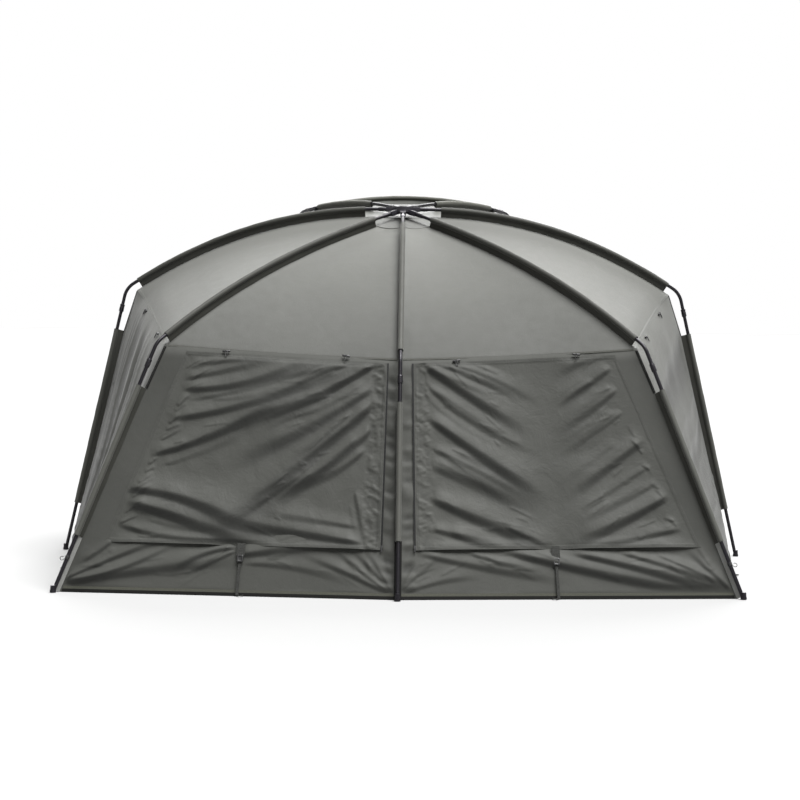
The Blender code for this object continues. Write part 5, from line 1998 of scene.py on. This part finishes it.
# %% Peg loops
def make_peg_loops():
    """Loops of webbing out of the hems, flat on the ground, for the pegs."""
    half_turn = np.linspace(0.0, math.pi, 13)
    bow = [(0.010 * math.cos(a), 0.026 * math.sin(a) - 0.003, 0.0) for a in half_turn]
    pattern = tube("peg_loop_pattern", bow, 0.0022, 3)
    places = [("rear_left", 0.46), ("rear_right", 0.54), ("side_left", 0.5), ("side_right", 0.5),
              ("front_left", 0.5), ("front_right", 0.5)]
    for panel, share in places:
        base, normal = wall_cloth(PANEL[panel], np.array([share]), np.array([1.0]))
        outward = Vector((normal[0][0], normal[0][1], 0.0)).normalized()
        place = (base[0][0], base[0][1], 0.0045)
        loop = placed_copy(pattern, panel + "_peg_loop", place, outward.cross(Vector(UP)), UP)
        finish_piece(loop, WEBBING)
    bpy.data.objects.remove(pattern)
    print(len(places), "peg loops round the foot")


make_peg_loops()

# %% Zip sliders
def make_slider_pattern():
    """A zip slider that runs along X, with its puller hanging from it."""
    parts = []
    for place, scale in (((0, 0, 0), (0.011, 0.0085, 0.0050)), ((0.012, 0, 0.0030), (0.020, 0.0055, 0.0016))):
        deselect_all()
        bpy.ops.mesh.primitive_cube_add(size=1.0, location=place, scale=scale)
        parts.append(bpy.context.active_object)
        bpy.ops.object.transform_apply(location=True, rotation=True, scale=True)
        apply_modifier(parts[-1], "BEVEL", width=0.0007, segments=2)
    parts[0].select_set(True)
    bpy.context.view_layer.objects.active = parts[0]
    bpy.ops.object.join()
    return parts[0]


def make_sliders():
    pattern = make_slider_pattern()
    places = [("rear_left", ZIP_SHARE, COVER_FOOT - 0.012), ("rear_right", 1 - ZIP_SHARE, COVER_FOOT - 0.012),
              ("front", DOOR_SHARE - 0.006, DOOR_T + 0.02), ("front", 1 - DOOR_SHARE + 0.006, DOOR_T + 0.02)]
    for number, (panel, share, t) in enumerate(places):
        def route(w):
            return share + 0.0 * w, t + 0.02 * (w - 0.5)
        base, along, normal = surface_line(wall_cloth, PANEL[panel], route, np.array([0.5]))
        place = base[0] + normal[0] * 0.0065
        slider = placed_copy(pattern, f"{panel}_zip_slider_{number + 1}", place, along[0], normal[0])
        finish_piece(slider, CLIP_PLASTIC)
    bpy.data.objects.remove(pattern)
    print(len(places), "zip sliders")


make_sliders()

# %% Hooks, clips and the roll's toggles
def make_hooks():
    """A wire hook on a band round each outer rear pole, for the guy line."""
    bend = [(0.004, -0.001), (0.014, -0.005), (0.024, -0.009), (0.031, -0.007), (0.034, -0.001),
            (0.031, 0.005), (0.024, 0.007), (0.018, 0.005)]
    for name in ("rear_left", "rear_right"):
        rib = RIBS[name]
        band_from, band_to = rib.place(rib.leg_point([rib.leg_length - 0.162, rib.leg_length - 0.148]))
        band = turned(name + "_hook_band", band_from, band_to,
                      [(0.0, 0.0088), (0.0014, 0.0100), (0.0126, 0.0100), (0.014, 0.0088)])
        middle = (band_from + band_to) / 2
        hook = tube(name + "_guy_hook", [middle + rib.out * a + UP * b for a, b in bend], 0.0014, 3)
        only(band)
        hook.select_set(True)
        bpy.ops.object.join()
        finish_piece(band, CLIP_PLASTIC)
    print("two guy hooks")


def make_front_clips():
    """Clips between the front poles and the canopy, just past the end of the sleeve."""
    pattern = make_clip()
    for name in ("front_left", "front_right"):
        rib = RIBS[name]
        share = np.array([rib.sleeve_last + 0.03])
        slope, out = rib.roof_direction(share)[0], square_to(rib.roof_direction(share))[0]
        outward = rib.out * out[0] + UP * out[1]
        place = rib.place(rib.roof_point(share))[0] - outward * 0.014
        clip = placed_copy(pattern, name + "_canopy_clip", place, outward, rib.out * slope[0] + UP * slope[1])
        finish_piece(clip, CLIP_PLASTIC)
    bpy.data.objects.remove(pattern)
    print("two canopy clips")


def make_roll_toggles():
    """A toggle on each tie of the rolled door."""
    pattern = make_toggle_pattern()
    for number, share in enumerate(TIE_SHARES):
        middle, out, down = (item[0] for item in roll_axis(np.array([share])))
        place = middle + out * (ROLL_RADIUS + 0.003) + down * 0.004
        toggle = placed_copy(pattern, f"roll_toggle_{number + 1}", place, np.cross(out, down), out)
        finish_piece(toggle, CLIP_PLASTIC)
    bpy.data.objects.remove(pattern)
    print(len(TIE_SHARES), "toggles on the roll's ties")


make_hooks()
make_front_clips()
make_roll_toggles()
